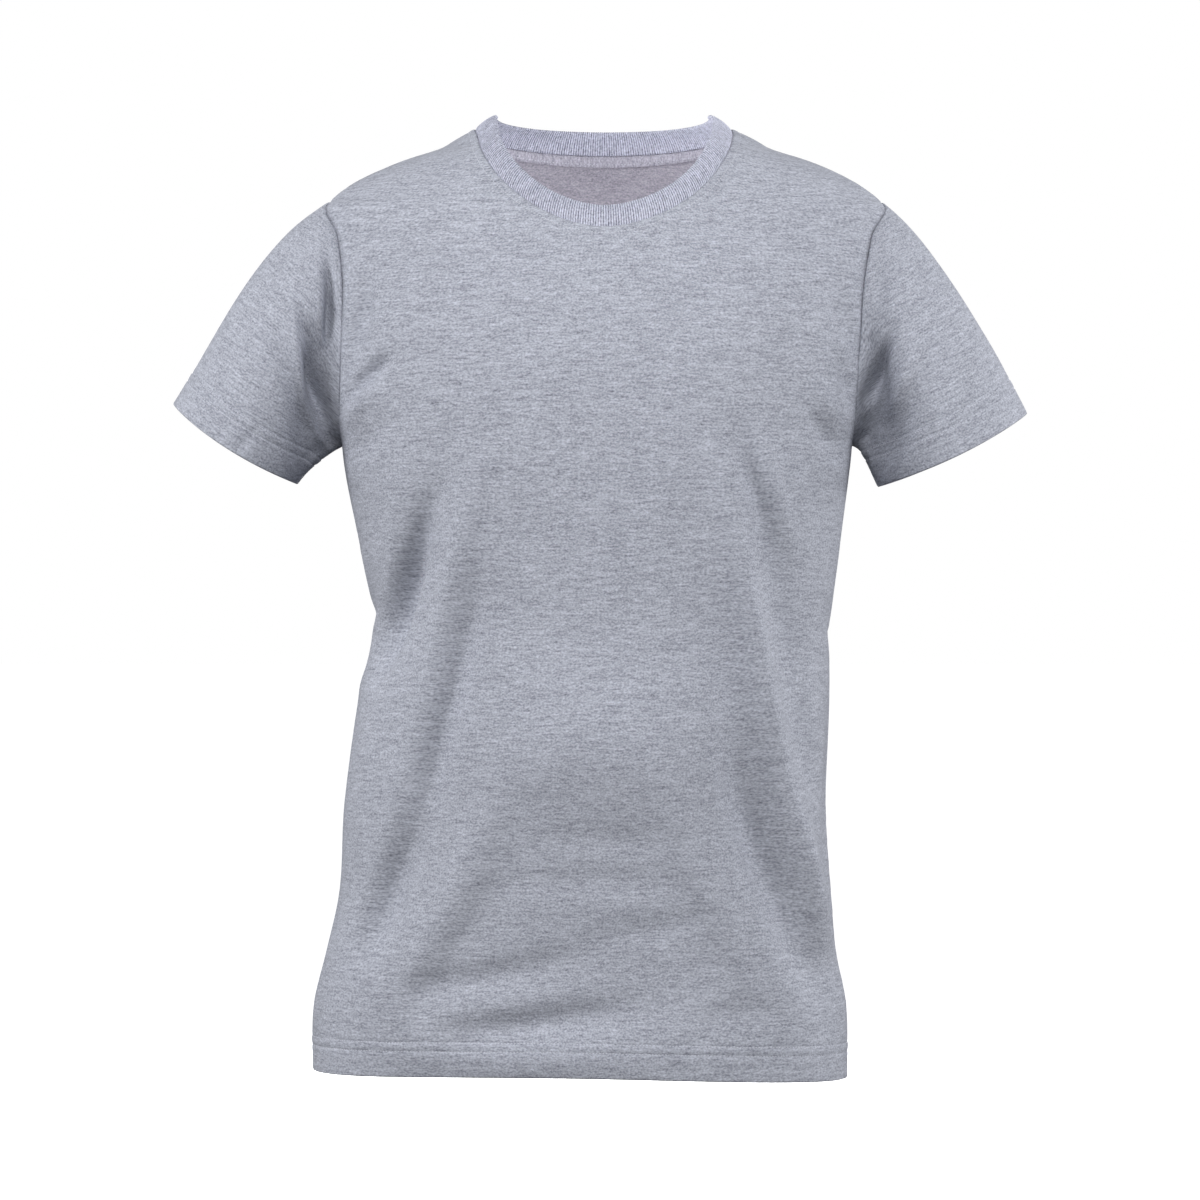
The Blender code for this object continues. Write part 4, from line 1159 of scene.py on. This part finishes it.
class ShirtCollarOperator(bpy.types.Operator):
    """Builds the folded rib collar"""

    bl_idname = "tshirt.collar"
    bl_label = "Collar"

    def execute(self, context):
        scene = context.scene
        sizes = scene.collar_sizes
        seam = neck_seam(body_of_shirt(scene))
        girth = np.linalg.norm(np.diff(np.concatenate([seam, seam[:1]]), axis=0), axis=1).sum()
        ribs = round(girth / sizes.rib_pitch)
        seam, girth = resampled_ring(seam, ribs * STEPS_A_RIB)
        inwards = (np.array([*NECK_MIDDLE, 0.0]) - seam) * (1, 1, 0)
        inwards = unit(inwards)
        end = np.where(inwards[:, 1] > 0, COLLAR_LEAN.front, COLLAR_LEAN.back)
        lean = COLLAR_LEAN.side + (end - COLLAR_LEAN.side) * np.abs(inwards[:, 1]) ** 1.5
        lean = np.radians(lean)[:, None]
        upwards = np.array([0.0, 0.0, 1.0])
        rise = inwards * np.cos(lean) + upwards * np.sin(lean)
        out = upwards * np.cos(lean) - inwards * np.sin(lean)
        profile = self.profile(sizes)
        points = np.array([seam + rise * along + out * over for along, over, _ in profile])
        fullness = np.array([full for _, _, full in profile])
        piece = self.band(scene, points, fullness, girth / ribs)
        finish_piece(piece, "collar")
        return {"FINISHED"}

    @staticmethod
    def profile(sizes):
        """The band's section, once round: (up the band, outwards, share of the rib's depth)."""
        radius = sizes.wall / 2
        top = sizes.width - radius
        rows = []
        for along in COLLAR_OUTSIDE:
            bow = COLLAR_BOW * math.sin(math.pi * along / sizes.width)
            dip = COLLAR_SEAM_DIP * math.exp(-((along / COLLAR_SEAM_BREADTH) ** 2))
            rows.append((along, bow - dip, min(1.0, along / RIB_FADE)))
        for k in range(COLLAR_FOLD_STEPS + 1):
            turn = math.pi * k / COLLAR_FOLD_STEPS
            rows.append((top + radius * math.sin(turn), radius * math.cos(turn) - radius, 0.9))
        for along in COLLAR_INSIDE:
            bow = COLLAR_BOW * math.sin(math.pi * along / sizes.width)
            rows.append((along, bow - sizes.wall, min(1.0, along / RIB_FADE)))
        return rows

    @staticmethod
    def band(scene, points, fullness, pitch):
        """The closed band as a mesh, ribbed."""
        rows, columns = points.shape[:2]
        i, j = (a.ravel() for a in np.meshgrid(np.arange(rows), np.arange(columns), indexing="ij"))
        down, beside = (i + 1) % rows, (j + 1) % columns
        faces = np.stack([i * columns + j, down * columns + j,
                          down * columns + beside, i * columns + beside], axis=1)
        flat = points.reshape(-1, 3)
        outer_row = 5
        a, b, c = (flat[faces[columns * outer_row, n]] for n in range(3))
        if np.cross(b - a, c - a) @ (a - points[:, 0].mean(axis=0)) < 0:
            faces = faces[:, ::-1]
        mesh = bpy.data.meshes.new("rib_collar")
        mesh.from_pydata(flat.tolist(), [], faces.tolist())
        steps = np.linalg.norm(np.diff(points[:, 0], axis=0), axis=1)
        climb = np.concatenate([[0], np.cumsum(steps)])
        round_band = np.tile(np.arange(columns) * pitch / STEPS_A_RIB, rows)
        for label, values in (("round", round_band), ("fullness", np.repeat(fullness, columns))):
            layer = mesh.attributes.new(label, "FLOAT", "POINT")
            layer.data.foreach_set("value", values.astype(np.float32))
        loops = np.zeros(len(mesh.loops), np.int32)
        mesh.loops.foreach_get("vertex_index", loops)
        uv = np.stack([climb[loops // columns], (loops % columns) * pitch / STEPS_A_RIB], axis=1)
        mesh.uv_layers.new(name="cloth").uv.foreach_set("vector", uv.astype(np.float32).ravel())
        mesh.shade_smooth()
        piece = bpy.data.objects.new("rib_collar", mesh)
        scene.collection.objects.link(piece)
        tree = bpy.data.node_groups.get("rib_channels") or rib_tree()
        return apply_tree(piece, tree, {"Pitch": pitch, "Depth": scene.collar_sizes.rib_depth,
                                        "Material": rib_knit(scene)})


def tape_grid(scene, panel):
    """The tape's outer face: the back panel's neck rows, brought inside its cloth."""
    sizes, collar = scene.shirt_sizes, scene.collar_sizes
    first = int(np.argmax(panel.neck <= collar.tape_width * 1.001))
    first = min(first, len(panel.neck) - 2) - 1
    rows, neck = panel.points[first:], panel.neck[first:]
    normals = panel_normals(panel.points)[first:]
    stitched = np.min([np.abs(neck - collar.tape_width * share) for share in TAPE_STITCHES], axis=0)
    dip = -TAPE_DIP * ridge(stitched, TAPE_DIP_BREADTH)[:, None, None]
    return rows - normals * (sizes.wall + TAPE_GAP + dip), normals, neck


class ShirtTapeOperator(bpy.types.Operator):
    """Builds the tape over the back neck seam"""

    bl_idname = "tshirt.tape"
    bl_label = "Neck tape"

    def execute(self, context):
        scene = context.scene
        points, normals, _ = tape_grid(scene, body_of_shirt(scene)["back"])
        laid_out = cloth_uv(points)
        piece = shell("neck_tape_jersey", points, normals, scene.collar_sizes.tape_wall,
                      laid_out[..., ::-1], False, [tape_cloth(scene), tape_cloth(scene)])
        finish_piece(piece, "neck_tape")
        return {"FINISHED"}


class ShirtStitchesOperator(bpy.types.Operator):
    """Sews the hem, the cuffs, the neck and the tape"""

    bl_idname = "tshirt.stitches"
    bl_label = "Stitches"

    def execute(self, context):
        scene = context.scene
        sizes, collar = scene.shirt_sizes, scene.collar_sizes
        panels = body_of_shirt(scene)
        lift = scene.stitch_sizes.thread * THREAD_LIFT
        outward = {face: panel_normals(panel.points) for face, panel in panels.items()}

        def round_row(front_row, back_row):
            """A closed row of stitches round both panels."""
            rows = [(panels["front"].points[front_row][:-1], outward["front"][front_row][:-1]),
                    (panels["back"].points[back_row][:0:-1], outward["back"][back_row][:0:-1])]
            points = np.concatenate([p + n * lift for p, n in rows])
            return points, np.concatenate([n for _, n in rows]), True

        hem = []
        for height in (sizes.lower_stitch, sizes.upper_stitch):
            row = int(np.argmin(np.abs(panels["front"].up - height)))
            hem.append(round_row(row, row))
        stitch_rows("hem_stitches", hem, scene)
        row = int(np.argmin(np.abs(panels["front"].neck - collar.topstitch)))
        stitch_rows("neck_stitches", [round_row(row, row)], scene)
        for sleeve in SLEEVES:
            points, from_cuff = creased_sleeve(sleeve, scene, panels)
            normals = ring_normals(points)
            rows = []
            for height in (sizes.lower_stitch - CUFF_STITCH_DROP, sizes.upper_stitch - CUFF_STITCH_DROP):
                row = int(np.argmin(np.abs(from_cuff[:, 0] - height)))
                rows.append((points[row] + normals[row] * lift, normals[row], True))
            stitch_rows(f"{sleeve.name}_stitches", rows, scene)
        points, normals, neck = tape_grid(scene, panels["back"])
        inside = points - normals * (collar.tape_wall + lift)
        rows = []
        for share in TAPE_STITCHES:
            row = int(np.argmin(np.abs(neck - collar.tape_width * share)))
            rows.append((inside[row, 2:-2], -normals[row, 2:-2], False))
        stitch_rows("tape_stitches", rows, scene)
        return {"FINISHED"}


class ShirtStageOperator(bpy.types.Operator):
    """Sets up the floor, the lights and the camera"""

    bl_idname = "tshirt.stage"
    bl_label = "Stage"

    def execute(self, context):
        scene = context.scene
        stage = scene.stage_sizes
        white = (1.0, 1.0, 1.0, 1.0)
        mesh = bpy.data.meshes.new("floor")
        corners = [(-1, -1), (1, -1), (1, 1), (-1, 1)]
        mesh.from_pydata([(x * FLOOR_REACH, y * FLOOR_REACH, stage.floor_height) for x, y in corners],
                         [], [(0, 1, 2, 3)])
        floor = bpy.data.objects.new("floor", mesh)
        scene.collection.objects.link(floor)
        paint, _, _ = blank_material("matt white paint", Base_Color=opaque(stage.floor), Roughness=0.9,
                                     Emission_Color=white, Emission_Strength=1.0)
        floor.visible_diffuse = False
        floor.visible_glossy = False
        mesh.materials.append(paint)
        world = bpy.data.worlds.new("studio")
        scene.world = world
        world.use_nodes = True
        sky = world.node_tree
        seen = add_node(sky, "ShaderNodeLightPath").outputs["Is Camera Ray"]
        brightness = add_node(sky, "ShaderNodeMix", {"data_type": "FLOAT"}, _0=seen, _2=stage.ambient,
                              _3=1.0)
        sky.nodes["Background"].inputs["Color"].default_value = white
        sky.links.new(brightness.outputs[0], sky.nodes["Background"].inputs["Strength"])
        scene.view_settings.view_transform = "Standard"
        for lamp in LAMPS:
            data = bpy.data.lights.new(lamp.name, "AREA")
            data.size = lamp.size
            data.energy = lamp.power
            light = bpy.data.objects.new(lamp.name, data)
            light.location = lamp.place
            aim = Vector(lamp.aim or (0.0, 0.0, stage.middle_height))
            light.rotation_euler = (aim - light.location).to_track_quat("-Z", "Y").to_euler()
            light.visible_camera = False
            scene.collection.objects.link(light)
        view = bpy.data.cameras.new("camera")
        view.sensor_width = 36
        view.lens = view.sensor_width * stage.distance / stage.view_width
        camera = bpy.data.objects.new("camera", view)
        camera.location = (0, -stage.distance, stage.middle_height)
        camera.rotation_euler = (math.pi / 2, 0, 0)
        scene.collection.objects.link(camera)
        scene.camera = camera
        return {"FINISHED"}


class ShirtPanel(bpy.types.Panel):
    """The shirt's sizes, colours and pieces"""

    bl_idname = "VIEW3D_PT_tshirt"
    bl_label = "Crew neck t-shirt"
    bl_space_type = "VIEW_3D"
    bl_region_type = "UI"
    bl_category = "T-shirt"

    def draw(self, context):
        for group, _ in GROUPS:
            box = self.layout.box()
            settings = getattr(context.scene, group)
            box.label(text=group.replace("_", " ").capitalize())
            for name in settings.__annotations__:
                box.prop(settings, name)
        for operator in OPERATORS:
            self.layout.operator(operator.bl_idname)


GROUPS = [
    ("shirt_sizes", ShirtSizes),
    ("collar_sizes", CollarSizes),
    ("stitch_sizes", StitchSizes),
    ("shirt_colours", ShirtColours),
    ("stage_sizes", StageSizes),
]
OPERATORS = [
    ShirtBodyOperator,
    ShirtSleevesOperator,
    ShirtCollarOperator,
    ShirtTapeOperator,
    ShirtStitchesOperator,
    ShirtStageOperator,
]


def register():
    for _, group in GROUPS:
        bpy.utils.register_class(group)
    for name, group in GROUPS:
        setattr(bpy.types.Scene, name, PointerProperty(type=group))
    for kind in [*OPERATORS, ShirtPanel]:
        bpy.utils.register_class(kind)


def unregister():
    for kind in [ShirtPanel, *OPERATORS[::-1]]:
        bpy.utils.unregister_class(kind)
    for name, group in GROUPS[::-1]:
        delattr(bpy.types.Scene, name)
        bpy.utils.unregister_class(group)


def main():
    register()
    bpy.ops.tshirt.body()
    bpy.ops.tshirt.sleeves()
    bpy.ops.tshirt.collar()
    bpy.ops.tshirt.tape()
    bpy.ops.tshirt.stitches()
    bpy.ops.tshirt.stage()
    bpy.context.view_layer.update()


if __name__ == "__main__":
    main()
